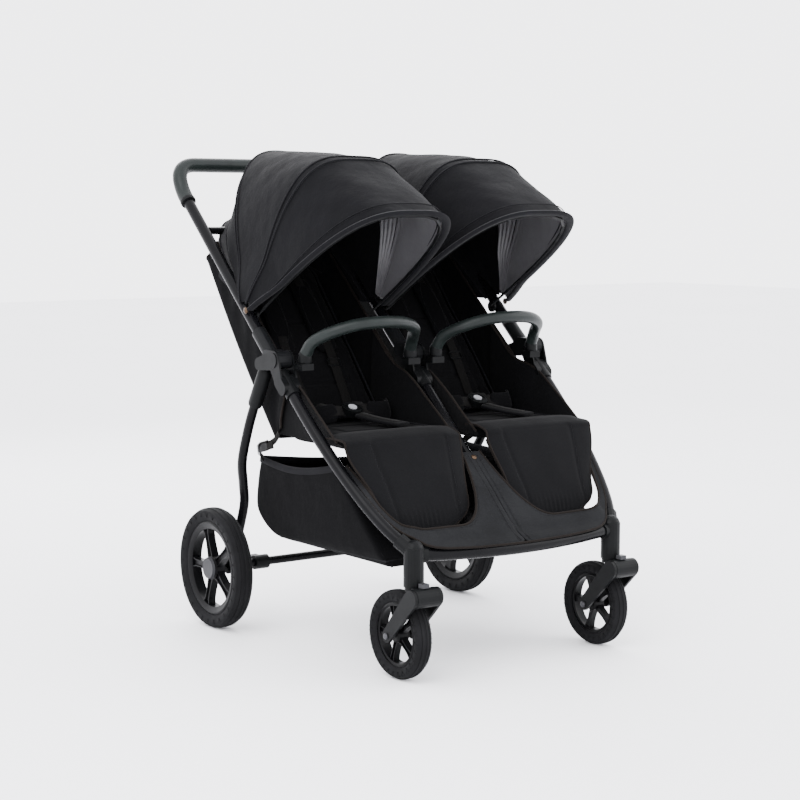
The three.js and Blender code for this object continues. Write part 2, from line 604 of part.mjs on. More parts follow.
function basket() {
  const [frontLow, floorEnd, rearLow, rearHigh, frontHigh] = BASKET_SIDE;
  const t = BASKET_WALL;
  const outer = slab(BASKET_SIDE, -BASKET_HALF, BASKET_HALF);
  const inner = slab([[frontLow[0] + 2.6 * t, frontLow[1] + t], [floorEnd[0] - 0.3 * t, floorEnd[1] + t],
    [rearLow[0] - 1.2 * t, rearLow[1] + 0.4 * t], [rearHigh[0] - t, rearHigh[1] + 9],
    [frontHigh[0] + 1.4 * t, frontHigh[1] + 9]],
  -BASKET_HALF + t, BASKET_HALF - t);
  add('basket', cut(outer, inner), clothBlack);
}

// ---------------------------------------------------------------- assembly
frontTubes();
frontCrossbar();
cornerConnectors();
foldHousings();
handleFrame();
rearFrame();
rearWheels();
casters();
seats();
legrests();
buckles();
bumperBars();
hoods();
footrest();
basket();

const object = new THREE.Group();
object.add(stroller);
stroller.updateMatrixWorld(true);
const extent = new THREE.Box3().setFromObject(stroller, true);
stroller.position.set(0, -(extent.min.y + extent.max.y) / 2, -extent.min.z);

export default object;
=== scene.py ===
import math
import bpy
import bmesh
from mathutils import Vector, Matrix, noise


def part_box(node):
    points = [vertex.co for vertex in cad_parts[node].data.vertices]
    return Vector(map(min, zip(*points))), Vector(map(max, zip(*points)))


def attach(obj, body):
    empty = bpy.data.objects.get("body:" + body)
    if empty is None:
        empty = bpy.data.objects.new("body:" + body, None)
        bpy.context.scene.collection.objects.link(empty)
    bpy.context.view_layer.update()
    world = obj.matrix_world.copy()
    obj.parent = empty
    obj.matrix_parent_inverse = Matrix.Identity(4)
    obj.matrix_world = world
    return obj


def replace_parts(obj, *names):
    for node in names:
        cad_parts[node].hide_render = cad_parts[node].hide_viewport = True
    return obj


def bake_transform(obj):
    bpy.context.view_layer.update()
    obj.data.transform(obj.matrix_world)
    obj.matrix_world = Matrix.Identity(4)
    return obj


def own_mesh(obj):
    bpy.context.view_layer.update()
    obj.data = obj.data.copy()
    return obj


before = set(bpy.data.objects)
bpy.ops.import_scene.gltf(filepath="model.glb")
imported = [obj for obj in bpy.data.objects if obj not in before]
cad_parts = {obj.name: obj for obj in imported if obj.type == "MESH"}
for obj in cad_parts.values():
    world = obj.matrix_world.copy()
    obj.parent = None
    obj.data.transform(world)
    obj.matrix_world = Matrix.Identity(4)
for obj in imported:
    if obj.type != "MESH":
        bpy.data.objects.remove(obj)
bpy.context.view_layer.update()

# Everything below is measured in a frame whose rear axle is at Y = REAR_AXLE_Y; at() moves it to the CAD's.
REAR_AXLE_Y = 0.350
REAR_RADIUS = 0.1414
FRONT_RADIUS = 0.0944
axle_low, axle_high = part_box("rear_axle_tube")
SHIFT = REAR_AXLE_Y - (axle_low.y + axle_high.y) / 2
TUBE_ANGLE = math.radians(41.9)
PIVOT = (0.049, 0.650)
COLUMN_X = 0.352
SEAT_X = 0.176
HOOD_X = 0.1743
HOOD_HALF = 0.1713
HOOD_AXIS = (0.186, 0.741)
LEG_PIVOT = (-0.172, 0.486)
LEG_ANGLE = math.radians(242.3)
LEG_DOWN = (math.cos(LEG_ANGLE), math.sin(LEG_ANGLE))
LEG_FRONT = (math.sin(LEG_ANGLE), -math.cos(LEG_ANGLE))
SIDES = (("left", 1), ("right", -1))
RIGHTWARD = Vector((1, 0, 0))


def around(n):
    """The angles of n even steps round a circle."""
    return [2 * math.pi * k / n for k in range(n)]


def shares(n):
    """From 0 to 1 in n even steps."""
    return [k / n for k in range(n + 1)]


def on_side(s, points):
    """Points of the left half, moved to the side that s stands for."""
    return [Vector((s * p.x, p.y, p.z)) for p in points]


def at(x, y, z):
    return Vector((x, y - SHIFT, z))


def on_frame(x, along, above=0.0):
    """A point in the plane of the frame tubes: along them from the fold pivot, and above their centre line."""
    up = above - 0.021
    return at(x, PIVOT[0] + along * math.cos(TUBE_ANGLE) - up * math.sin(TUBE_ANGLE),
              PIVOT[1] + along * math.sin(TUBE_ANGLE) + up * math.cos(TUBE_ANGLE))


# ---------------------------------------------------------------- camera
camera_data = bpy.data.cameras.new("camera")
camera_data.lens = 80.69
camera_data.sensor_width = 36.0
camera = bpy.data.objects.new("camera", camera_data)
bpy.context.scene.collection.objects.link(camera)
camera.location = at(-2.3741, -3.2995, 0.9710)
camera.rotation_euler = (math.radians(84.022), 0, math.radians(-34.934))
bpy.context.scene.camera = camera


# ---------------------------------------------------------------- materials
def nodes_of(name, color, roughness, metallic=0.0, sheen=0.0, specular=0.5):
    """A material, its Principled node and a helper that adds a node and links its inputs."""
    mat = bpy.data.materials.new(name)
    mat.use_nodes = True
    tree = mat.node_tree
    shader = tree.nodes["Principled BSDF"]
    shader.inputs["Base Color"].default_value = (*color, 1)
    shader.inputs["Roughness"].default_value = roughness
    shader.inputs["Metallic"].default_value = metallic
    shader.inputs["Specular IOR Level"].default_value = specular
    shader.inputs["Sheen Weight"].default_value = sheen
    shader.inputs["Sheen Roughness"].default_value = 0.45

    def new(kind, links=None, **values):
        node = tree.nodes.new(kind)
        for key, value in values.items():
            if key[0].isupper():
                node.inputs[key.replace("_", " ")].default_value = value
            else:
                setattr(node, key, value)
        for key, source in (links or {}).items():
            tree.links.new(source, node.inputs[key])
        return node

    new.link = tree.links.new
    new.place = new("ShaderNodeTexCoord").outputs["Object"]
    return mat, shader, new


def noise_at(new, scale, detail=3.0, rough=0.55):
    return new("ShaderNodeTexNoise", {"Vector": new.place}, Scale=scale, Detail=detail, Roughness=rough)


def shades(new, value, dark, light):
    ramp = new("ShaderNodeValToRGB", {"Fac": value})
    ramp.color_ramp.elements[0].position = 0.3
    ramp.color_ramp.elements[1].position = 0.7
    ramp.color_ramp.elements[0].color = (*dark, 1)
    ramp.color_ramp.elements[1].color = (*light, 1)
    return ramp.outputs["Color"]


def uneven_gloss(new, shader, value, low, high):
    gloss = new("ShaderNodeMapRange", {"Value": value}, From_Min=0.3, From_Max=0.7, To_Min=low, To_Max=high)
    new.link(gloss.outputs[0], shader.inputs["Roughness"])


def bumped(new, shader, height, strength, distance, normal=None):
    links = {"Height": height}
    if normal:
        links["Normal"] = normal
    bump = new("ShaderNodeBump", links, Strength=strength, Distance=distance)
    new.link(bump.outputs["Normal"], shader.inputs["Normal"])
    return bump.outputs["Normal"]


def cloth(name, color, roughness, sheen, thread=0.0011, crease=0.5, melange=0.0, specular=0.035):
    """Woven cloth: crossing threads, soft creases and uneven dye."""
    mat, shader, new = nodes_of(name, color, roughness, sheen=sheen, specular=specular)
    big = noise_at(new, 9.0, 4.0)
    fine = noise_at(new, 260.0 if melange else 90.0, 3.0, 0.7)
    mixed = new("ShaderNodeMath", {0: big.outputs["Fac"], 1: fine.outputs["Fac"]}, operation="ADD")
    half = new("ShaderNodeMath", {0: mixed.outputs[0]}, operation="MULTIPLY")
    half.inputs[1].default_value = 0.5
    low = 0.78 - melange
    high = 1.2 + melange
    tint = shades(new, half.outputs[0], [c * low for c in color], [c * high for c in color])
    new.link(tint, shader.inputs["Base Color"])
    uneven_gloss(new, shader, fine.outputs["Fac"], roughness - 0.06, roughness + 0.05)
    warp, weft = (new("ShaderNodeTexWave", {"Vector": new.place}, Scale=1 / (thread * 6.28), Distortion=0.6,
                      wave_type="BANDS", bands_direction=way) for way in ("Z", "DIAGONAL"))
    weave = new("ShaderNodeMath", {0: warp.outputs["Fac"], 1: weft.outputs["Fac"]}, operation="MULTIPLY")
    soft = bumped(new, shader, noise_at(new, 22.0, 3.0, 0.5).outputs["Fac"], crease, 0.004)
    bumped(new, shader, weave.outputs[0], 0.35, 0.0004, soft)
    return mat


def moulded(name, color, roughness, metallic=0.0, grain=900.0, depth=0.15, wear=1.35):
    """Moulded plastic, paint or rubber: fine grain, faint mottling and slightly uneven gloss."""
    mat, shader, new = nodes_of(name, color, roughness, metallic, specular=0.07)
    big = noise_at(new, 14.0, 5.0)
    tint = shades(new, big.outputs["Fac"], [c * 0.88 for c in color], [min(1, c * wear) for c in color])
    new.link(tint, shader.inputs["Base Color"])
    uneven_gloss(new, shader, noise_at(new, 40.0, 4.0).outputs["Fac"], roughness - 0.05, roughness + 0.07)
    bumped(new, shader, noise_at(new, grain, 2.0).outputs["Fac"], depth, 0.0006)
    return mat


def hide(name, color, roughness):
    """Leather-look cover: pebbled grain over soft dents."""
    mat, shader, new = nodes_of(name, color, roughness, specular=0.14)
    cells = new("ShaderNodeTexVoronoi", {"Vector": new.place}, Scale=420.0, feature="SMOOTH_F1")
    big = noise_at(new, 30.0, 4.0)
    tint = shades(new, big.outputs["Fac"], [c * 0.85 for c in color], [c * 1.3 for c in color])
    new.link(tint, shader.inputs["Base Color"])
    uneven_gloss(new, shader, cells.outputs["Distance"], roughness + 0.08, roughness - 0.06)
    soft = bumped(new, shader, noise_at(new, 45.0).outputs["Fac"], 0.25, 0.002)
    bumped(new, shader, cells.outputs["Distance"], 0.4, 0.0007, soft)
    return mat


BLACK_CLOTH = cloth("black_cloth", (0.0015, 0.0015, 0.0018), 0.88, 0.02)
HOOD_CLOTH = cloth("hood_cloth", (0.0028, 0.0028, 0.0034), 0.84, 0.025, crease=0.7)
SEAT_CLOTH = cloth("seat_cloth", (0.0025, 0.0025, 0.0028), 0.92, 0.015, thread=0.0014)
LEG_CLOTH = cloth("legrest_cloth", (0.0034, 0.0034, 0.0038), 0.9, 0.02, thread=0.0016, crease=0.35)
GREY_CLOTH = cloth("grey_cloth", (0.0073, 0.0075, 0.0081), 0.92, 0.02, thread=0.0016, crease=0.3, melange=0.3)
LINING = cloth("satin_lining", (0.0630, 0.0614, 0.0662), 0.38, 0.1, thread=0.0008, crease=0.35, specular=0.5)
DARK_LINING = cloth("dark_lining", (0.0027, 0.0027, 0.0033), 0.8, 0.01)
BINDING = cloth("edge_binding", (0.0064, 0.0051, 0.0044), 0.8, 0.02, thread=0.0009, crease=0.2)
PIPING = cloth("piping", (0.0050, 0.0050, 0.0059), 0.72, 0.02, thread=0.0009, crease=0.1)
WEBBING = cloth("webbing", (0.0043, 0.0041, 0.0040), 0.8, 0.02, thread=0.0017, crease=0.1)
THREAD = cloth("thread", (0.0085, 0.0085, 0.0095), 0.7, 0.02, thread=0.0005, crease=0.0)
PAINT = moulded("painted_tube", (0.0018, 0.0018, 0.0022), 0.26, grain=500.0, depth=0.05)
PLASTIC = moulded("moulded_plastic", (0.0022, 0.0024, 0.0026), 0.42)
SLEEVE = moulded("sleeve_plastic", (0.0041, 0.0043, 0.0047), 0.34, depth=0.08)
GLOSS = moulded("gloss_plastic", (0.0020, 0.0020, 0.0023), 0.2, depth=0.04)
RIM_PLASTIC = moulded("rim_plastic", (0.0019, 0.0019, 0.0022), 0.34, depth=0.08)
RUBBER = moulded("tyre_rubber", (0.0038, 0.0038, 0.0042), 0.78, grain=700.0, depth=0.35, wear=1.5)
GREY_PLASTIC = moulded("grey_plastic", (0.0210, 0.0210, 0.0231), 0.36)
PALE_PLASTIC = moulded("pale_plastic", (0.2400, 0.2400, 0.2560), 0.38)
STEEL = moulded("steel", (0.0425, 0.0425, 0.0460), 0.34, 0.7, depth=0.05)
BRASS = moulded("dark_brass", (0.0510, 0.0330, 0.0216), 0.38, 0.7, depth=0.05)
LEATHER = hide("leatherette", (0.0054, 0.0074, 0.0070), 0.34)


# ---------------------------------------------------------------- mesh helpers
def smoothstep(x, low, high):
    t = min(1.0, max(0.0, (x - low) / (high - low)))
    return t * t * (3 - 2 * t)


def piece(name, verts, faces, mat, body=None, level=0, thick=0.0, offset=-1.0, smooth=True):
    """A mesh object, optionally thickened and subdivided, with its modifiers applied."""
    mesh = bpy.data.meshes.new(name)
    mesh.from_pydata([tuple(v) for v in verts], [], faces)
    mesh.validate()
    obj = bpy.data.objects.new(name, mesh)
    bpy.context.scene.collection.objects.link(obj)
    mesh.materials.append(mat)
    if thick:
        shell = obj.modifiers.new("thick", "SOLIDIFY")
        shell.thickness = thick
        shell.offset = offset
    if level:
        obj.modifiers.new("round", "SUBSURF").levels = level
    bake(obj)
    obj.data.shade_smooth() if smooth else obj.data.shade_flat()
    if body:
        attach(obj, body)
    return obj


def bake(obj):
    """Applies the modifiers."""
    if not obj.modifiers:
        return
    graph = bpy.context.evaluated_depsgraph_get()
    mesh = bpy.data.meshes.new_from_object(obj.evaluated_get(graph))
    obj.modifiers.clear()
    old = obj.data
    obj.data = mesh
    bpy.data.meshes.remove(old)


def ring_faces(rings, n, closed=False, capped=True):
    """Faces between rings of n points: closed joins the last ring to the first, capped fills both ends."""
    faces = [(i * n + j, i * n + (j + 1) % n, (i + 1) % rings * n + (j + 1) % n, (i + 1) % rings * n + j)
             for i in range(rings if closed else rings - 1) for j in range(n)]
    if capped and not closed:
        faces += [tuple(reversed(range(n))), tuple(range((rings - 1) * n, rings * n))]
    return faces


def faced(rows, flip):
    """The grid with its rows turned end for end if flip is true, which turns its faces over."""
    return [row[::-1] for row in rows] if flip else rows


def sheet_of(name, rows, mat, body=None, thick=0.0014, offset=-1.0):
    """A cloth sheet through a grid of points."""
    width = len(rows[0])
    verts = [p for row in rows for p in row]
    faces = [(i * width + j, i * width + j + 1, (i + 1) * width + j + 1, (i + 1) * width + j)
             for i in range(len(rows) - 1) for j in range(width - 1)]
    return piece(name, verts, faces, mat, body, 1, thick, offset)


def curve_points(points, steps=8):
    """A smooth path through the points."""
    pts = [Vector(p) for p in points]
    ends = [2 * pts[0] - pts[1]] + pts + [2 * pts[-1] - pts[-2]]
    out = []
    for a, b, c, d in zip(ends, ends[1:], ends[2:], ends[3:]):
        for k in range(steps):
            t = k / steps
            out.append(0.5 * (2 * b + (c - a) * t + (2 * a - 5 * b + 4 * c - d) * t * t
                              + (3 * b - a - 3 * c + d) * t ** 3))
    out.append(pts[-1])
    return out


def rounded_corners(points, bends, steps=10):
    """Straight runs joined by round bends."""
    pts = [Vector(p) for p in points]
    out = [pts[0]]
    for before, corner, after, bend in zip(pts, pts[1:], pts[2:], bends):
        a = corner + (before - corner).normalized() * bend
        b = corner + (after - corner).normalized() * bend
        out += [a.lerp(corner, t).lerp(corner.lerp(b, t), t) for t in shares(steps)]
    return out + [pts[-1]]


def sweep(name, path, section, mat, body=None, side=None, closed=False):
    """A closed bar with the given section (a radius, or a list of points) along a path."""
    path = [Vector(p) for p in path]
    if not isinstance(section, (list, tuple)):
        radius = section
        section = [(radius * math.cos(a), radius * math.sin(a)) for a in around(20)]
    count = len(path)
    ways = []
    for i in range(count):
        if closed:
            ways.append((path[(i + 1) % count] - path[i - 1]).normalized())
        else:
            ways.append((path[min(i + 1, count - 1)] - path[max(i - 1, 0)]).normalized())
    across = Vector(side) if side else ways[0].orthogonal()
    verts = []
    for point, way in zip(path, ways):
        across = (across - way * across.dot(way)).normalized()
        up = way.cross(across)
        verts += [point + across * u + up * v for u, v in section]
    obj = piece(name, verts, ring_faces(count, len(section), closed), mat, body)
    obj.data.set_sharp_from_angle(angle=math.radians(50))
    return obj


def flat_section(width, thick):
    """A strap's section: flat, with round edges."""
    w = width / 2
    t = thick / 2
    return [(-w, 0), (-w + t, -t), (0, -t), (w - t, -t), (w, 0), (w - t, t), (0, t), (-w + t, t)]


def merge(name, objs, body=None):
    """Joins several pieces into one."""
    bm = bmesh.new()
    mats = []
    for obj in objs:
        for mat in obj.data.materials:
            if mat not in mats:
                mats.append(mat)
    for obj in objs:
        start = len(bm.faces)
        bm.from_mesh(obj.data)
        bm.faces.ensure_lookup_table()
        slots = [mats.index(m) for m in obj.data.materials]
        for face in bm.faces[start:]:
            face.material_index = slots[face.material_index]
    mesh = bpy.data.meshes.new(name)
    bm.to_mesh(mesh)
    bm.free()
    for mat in mats:
        mesh.materials.append(mat)
    for obj in objs:
        bpy.data.objects.remove(obj)
    out = bpy.data.objects.new(name, mesh)
    bpy.context.scene.collection.objects.link(out)
    if body:
        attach(out, body)
    return out


def stitches(name, path, pitch=0.0045, length=0.003, radius=0.00045):
    """A row of short threads along a path."""
    verts, faces = [], []
    run = 0.0
    for a, b in zip(path, path[1:]):
        size = (b - a).length
        if size < 1e-6:
            continue
        along = (b - a) / size
        side = along.orthogonal().normalized() * radius
        up = along.cross(side).normalized() * radius
        while run < size:
            start = a + along * run
            end = start + along * length
            k = len(verts)
            verts += [spot + way for spot in (start, end) for way in (-up, side, up, -side)]
            faces += [(k, k + 1, k + 5, k + 4), (k + 1, k + 2, k + 6, k + 5), (k + 2, k + 3, k + 7, k + 6),
                      (k + 3, k, k + 4, k + 7), (k + 3, k + 2, k + 1, k), (k + 4, k + 5, k + 6, k + 7)]
            run += pitch
        run -= size
    return piece(name, verts, faces, THREAD)


def lathe(name, profile, centre, mat, segments=96):
    """A ring turned about an X axis through the centre; the profile is a list of radius and X."""
    turns = around(segments)
    verts = [centre + Vector((x, r * math.cos(a), r * math.sin(a))) for a in turns for r, x in profile]
    obj = piece(name, verts, ring_faces(segments, len(profile), closed=True), mat)
    obj.data.set_sharp_from_angle(angle=math.radians(35))
    return obj


def turned(name, start, axis, profile, mat, sides=32):
    """A solid turned about an axis from start; the profile is a list of radius and distance."""
    axis = Vector(axis).normalized()
    across = axis.orthogonal().normalized()
    up = axis.cross(across)
    turns = around(sides)
    verts = [start + axis * h + across * r * math.cos(a) + up * r * math.sin(a)
             for r, h in profile for a in turns]
    return piece(name, verts, ring_faces(len(profile), sides), mat)


def sleeve_of(name, start, end, profile, mat):
    """A sleeve turned about the line from start to end, with crisp steps."""
    obj = turned(name, start, end - start, profile, mat)
    obj.data.set_sharp_from_angle(angle=math.radians(35))
    return obj


def disc(name, centre, axis, radius, height, mat, edge=0.15, sides=40):
    """A low round button or cap with a rounded edge, standing on centre."""
    e = edge * radius
    profile = [(radius, 0), (radius, height - e * 0.6), (radius - e * 0.35, height - e * 0.15),
               (radius - e, height), (radius * 0.5, height * 1.04)]
    return turned(name, centre, axis, profile, mat, sides)


def repaint(mat, *names):
    for name in names:
        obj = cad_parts[name]
        obj.data.materials.clear()
        obj.data.materials.append(mat)
        obj.data.shade_smooth()
        obj.data.set_sharp_from_angle(angle=math.radians(32))


# ---------------------------------------------------------------- frame
def frame_tubes():
    end_way = Vector((0.46, 0.661, 0.593))
    for side, s in SIDES:
        end = at(0.269, -0.335, 0.274) + end_way * 0.042
        controls = [on_frame(COLUMN_X, -0.086), on_frame(COLUMN_X, -0.24), end + end_way * 0.09, end]
        a, b, c, d = on_side(s, controls)
        path = [a * (1 - t) ** 3 + b * 3 * t * (1 - t) ** 2 + c * 3 * t * t * (1 - t) + d * t ** 3
                for t in shares(40)]
        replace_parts(sweep(f"front_tube_{side}_skin", path, 0.013, PAINT, "chassis"), f"front_tube_{side}")
        top = on_frame(0, 0.040, -0.031)
        route = [Vector((0.347, top.y, top.z)), at(0.347, 0.176, 0.534), at(0.346, 0.208, 0.474),
                 at(0.342, 0.240, 0.404), at(0.322, 0.270, 0.345), at(0.308, 0.292, 0.296),
                 at(0.307, 0.320, 0.226), at(0.307, REAR_AXLE_Y, 0.150)]
        route = on_side(s, route)
        leg = sweep("leg", curve_points(route, 8), 0.011, PAINT)
        way = route[1] - route[0]
        sleeve = sleeve_of("leg_sleeve", route[0] + way * 0.12, route[1],
                           [(0.0125, 0), (0.0160, 0.008), (0.0165, 0.03), (0.0165, 0.094), (0.0150, 0.100),
                            (0.0118, 0.101)], PLASTIC)
        knuckle = disc("leg_knuckle", Vector((s * 0.3355, top.y, top.z)), (s, 0, 0), 0.0125, 0.033, PLASTIC)
        foot = disc("leg_foot", at(s * 0.293, REAR_AXLE_Y, REAR_RADIUS), (s, 0, 0), 0.019, 0.031, PLASTIC)
        stub = disc("leg_stub", at(s * 0.320, REAR_AXLE_Y, REAR_RADIUS), (s, 0, 0), 0.0060, 0.0475, STEEL)
        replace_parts(merge(f"rear_leg_{side}_skin", [leg, sleeve, knuckle, foot, stub], "rear_frame"),
                    f"rear_leg_{side}")
    bar = [at(-0.239, -0.337, 0.268), at(0, -0.383, 0.256), at(0.239, -0.337, 0.268)]
    path = [bar[0].lerp(bar[1], t).lerp(bar[1].lerp(bar[2], t), t) for t in shares(40)]
    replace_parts(sweep("front_crossbar_skin", path, 0.014, PAINT, "chassis"), "front_crossbar")
    repaint(PAINT, "front_tube_center", "upper_tube_center", "back_crossbar", "rear_axle_tube")
    for side, _ in SIDES:
        repaint(PLASTIC, *(f"{node}_{side}" for node in (
            "corner_connector", "fold_housing", "hood_hub", "hood_bow", "buckle", "swivel_head", "front_fork")))
        repaint(SLEEVE, f"upper_housing_{side}")
        repaint(STEEL, f"back_hinge_bar_{side}")
        repaint(GREY_PLASTIC, f"hub_cap_{side}", f"swivel_lock_{side}")
        repaint(PALE_PLASTIC, f"buckle_button_{side}")
    repaint(PLASTIC, "fold_housing_center", "brake_pedal")
    repaint(SLEEVE, "upper_housing_center")
    repaint(GLOSS, "footwell_panel")


def push_bar():
    def route(start):
        half = [on_frame(COLUMN_X, start), on_frame(COLUMN_X, 0.575), at(COLUMN_X, 0.524, 1.083)]
        return rounded_corners(on_side(-1, half) + half[::-1], [0.020, 0.050, 0.050, 0.020], 14)
    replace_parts(sweep("push_bar_tube", route(0.072), 0.013, PAINT, "handle_frame"), "handle_tube")
    grip = sweep("grip", route(0.540), 0.0172, LEATHER)
    collars = []
    for s in (-1, 1):
        start = on_frame(s * COLUMN_X, 0.536)
        end = on_frame(s * COLUMN_X, 0.56)
        collars.append(sleeve_of("collar", start, end, [(0.0138, 0), (0.0178, 0.001), (0.0182, 0.003),
                                                        (0.0182, 0.009), (0.0173, 0.011)], PLASTIC))
    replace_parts(merge("push_bar_grip", [grip] + collars, "handle_frame"), "handle_grip")
    seam = [at(-0.29, 0.5345, 1.0694), at(0.29, 0.5345, 1.0694)]
    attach(stitches("grip_seam", seam), "handle_frame")


def bumper_bars():
    for side, s in SIDES:
        hx, hy = 0.316, 0.008
        half = [(hx, hy, 0.662), (hx - 0.008, hy - 0.022, 0.692), (hx - 0.034, -0.055, 0.715),
                (hx - 0.080, -0.082, 0.730)]
        points = half + [(SEAT_X, -0.091, 0.734)] + [(2 * SEAT_X - x, y, z) for x, y, z in half[::-1]]
        path = curve_points([at(s * x, y, z) for x, y, z in points], 10)
        parts = [sweep("bar", path, 0.0135, LEATHER)]
        for x in (hx, 2 * SEAT_X - hx):
            foot = at(s * x, hy, 0.6437)
            parts.append(sleeve_of("post", foot, foot + Vector((0, 0, 0.03)),
                                   [(0.0135, 0), (0.0145, 0.002), (0.0145, 0.016), (0.0138, 0.022),
                                    (0.0120, 0.026)], PLASTIC))
        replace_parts(merge(f"bumper_{side}_skin", parts, f"bumper_{side}"), f"bumper_bar_{side}")
        rail = [p + Vector((0, 0.004, -0.0130)) for p in path[12:-12]]
        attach(stitches(f"bumper_seam_{side}", rail), f"bumper_{side}")


# ---------------------------------------------------------------- wheels
def both_faces(half):
    """A profile across a wheel, from its half on one face."""
    return [(r, -x) for r, x in half] + [(r, x) for r, x in half[::-1]]


def wheel(centre, out, radius, width, rim_r, inner_r, hub_r, hub_half, bore, body, rim_node, tyre_node):
    w = width / 2
    seat = rim_r + 0.0006
    half = [(seat, 0.62), (seat + 0.004, 0.82), (rim_r + (radius - rim_r) * 0.45, 0.98), (radius - 0.010, 1),
            (radius - 0.006, 0.94), (radius - 0.0025, 0.62), (radius - 0.0012, 0.56), (radius - 0.0026, 0.5),
            (radius - 0.0006, 0.44), (radius, 0.16), (radius - 0.0016, 0.1)]
    parts = [lathe("tyre", both_faces([(r, w * x) for r, x in half]), centre, RUBBER, segments=128)]
    ring = rim_r + (radius - rim_r) * 0.52
    arm = 0.0045 / ring
    line = [(-0.0008, -0.0007), (0.0008, -0.0007), (0.0008, 0.0007), (-0.0008, 0.0007)]
    for a in around(28):
        for face in (-1, 1):
            path = [centre + Vector((face * (w * 0.985), r * math.cos(a + turn), r * math.sin(a + turn)))
                    for r, turn in ((ring + 0.006, -arm), (ring - 0.005, 0), (ring + 0.006, arm))]
            parts.append(sweep("mark", path, line, RUBBER, side=(1, 0, 0)))
    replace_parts(merge(f"{tyre_node}_skin", parts, body), tyre_node)
    h = 0.017 * (width / 0.046) if radius > 0.12 else 0.014
    band = both_faces([(inner_r, h * 0.7), (inner_r + 0.004, h * 0.86), (rim_r - 0.004, h), (rim_r, h * 0.9)])
    hub = both_faces([(bore, hub_half), (hub_r * 0.8, hub_half), (hub_r, hub_half * 0.75)])
    parts = [lathe("band", band + [(inner_r + 0.001, 0)], centre, RIM_PLASTIC),
             lathe("hub", hub, centre, RIM_PLASTIC, segments=64)]
    front, back = h * 0.62, -h * 0.45
    ribbed = [(back, -1), (back, 1), (front, 1), (front, 0.72), (front - 0.0045, 0.58),
              (front - 0.0045, -0.58), (front, -0.72), (front, -1)]
    for k in range(5):
        turn = Matrix.Rotation(2 * math.pi * k / 5, 3, "X")
        verts = []
        for r, half in ((hub_r * 0.7, hub_r * 0.46), (hub_r * 1.3, hub_r * 0.36),
                        ((hub_r + inner_r) / 2, hub_r * 0.29), (inner_r - 0.012, hub_r * 0.33),
                        (inner_r + 0.003, hub_r * 0.5)):
            verts += [centre + turn @ Vector((out * x, r, half * y)) for x, y in ribbed]
        parts.append(piece("spoke", verts, ring_faces(5, len(ribbed)), RIM_PLASTIC, smooth=False))
    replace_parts(merge(f"{rim_node}_skin", parts, body), rim_node)


def wheels():
    for side, s in SIDES:
        wheel(at(s * 0.353, REAR_AXLE_Y, REAR_RADIUS), s,
              REAR_RADIUS, 0.046, 0.1095, 0.092, 0.027, 0.0155, 0.0065,
              f"rear_wheel_{side}", f"rear_rim_{side}", f"rear_tyre_{side}")
        wheel(at(s * 0.269, -0.286, FRONT_RADIUS), s,
              FRONT_RADIUS, 0.038, 0.068, 0.0605, 0.017, 0.015, 0.0056,
              f"front_wheel_{side}", f"front_rim_{side}", f"front_tyre_{side}")
        for face in (-1, 1):
            bolt = at(s * 0.269 + face * 0.0355, -0.286, FRONT_RADIUS)
            head = disc(f"axle_nut_{side}_{'in' if face * s < 0 else 'out'}", bolt, (face, 0, 0),
                        0.0068, 0.0035, STEEL, edge=0.3, sides=24)
            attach(head, f"fork_{side}")


# ---------------------------------------------------------------- hoods
HOOPS = [(149.4, 0.453, 3.1), (115.3, 0.386, 3.4), (64.5, 0.412, 2.3), (48.5, 0.312, 3.2)]


def hood_section(angle):
    for (a0, h0, n0), (a1, h1, n1) in zip(HOOPS, HOOPS[1:]):
        if angle >= a1 - 1e-6:
            t = (a0 - angle) / (a0 - a1)
            flat = h0 * h1 * math.sin(math.radians(a0 - a1)) / (
                h0 * math.sin(math.radians(a0 - angle)) + h1 * math.sin(math.radians(angle - a1)))
            return (h0 + (h1 - h0) * t) * 0.3 + flat * 0.7, n0 + (n1 - n0) * t, t
    return HOOPS[-1][1], HOOPS[-1][2], 1.0


def at_hood(x, r, angle):
    """A point at a distance from the hoods' hinge line, at an angle in degrees above the rear."""
    a = math.radians(angle)
    return at(x, HOOD_AXIS[0] + r * math.cos(a), HOOD_AXIS[1] + r * math.sin(a))


def hood_point(s, angle, u, inset=0.0, wrinkle=1.0):
    """A point of the hood: u runs from 0 at the outer hinge, over the top, to 1 at the inner hinge."""
    height, power, t = hood_section(angle)
    near = 0.030
    first = math.asin((near / height) ** (power / 2))
    turn = first + (math.pi - 2 * first) * u
    side = math.cos(turn)
    top = math.sin(turn)
    x = (HOOD_HALF - inset) * math.copysign(abs(side) ** (2 / power), side)
    r = (height - inset) * top ** (2 / power)
    sag = 0.006 * math.sin(math.pi * t) * top
    folds = 0.0022 * math.sin(u * 47 + angle * 0.11) * math.sin(angle * 0.5 + u * 9) * (1 - 0.6 * top)
    folds += 0.0035 * noise.noise(Vector((u * 7, angle * 0.07, 3.1 + s)))
    r -= (sag + folds) * wrinkle
    x *= 1 - 0.012 * wrinkle * math.sin(math.pi * t) * (1 - top)
    if side > 0:
        x += 0.021 * (1 - smoothstep(r, 0.028, 0.150))
    return at_hood(s * (HOOD_X + x), r, angle)


def hoop_path(s, angle, inset=0.0):
    return [hood_point(s, angle, k / 90, inset, 0.0) for k in range(91)]


def under_hood(s, angle, u, gathers):
    """A point of the lining, a little inside the hood, with gathers that run out from the hinge."""
    p = hood_point(s, angle, u)
    middle = at_hood(s * HOOD_X, hood_section(angle)[0] * 0.45, angle)
    pinch = (1 - math.sin(math.pi * u)) ** 1.3
    ripple = math.sin(angle * 1.55) * smoothstep(118 - angle, -8, 4) * gathers
    return p + (middle - p).normalized() * (0.0075 + 0.0045 * (1 + ripple) * pinch * gathers)


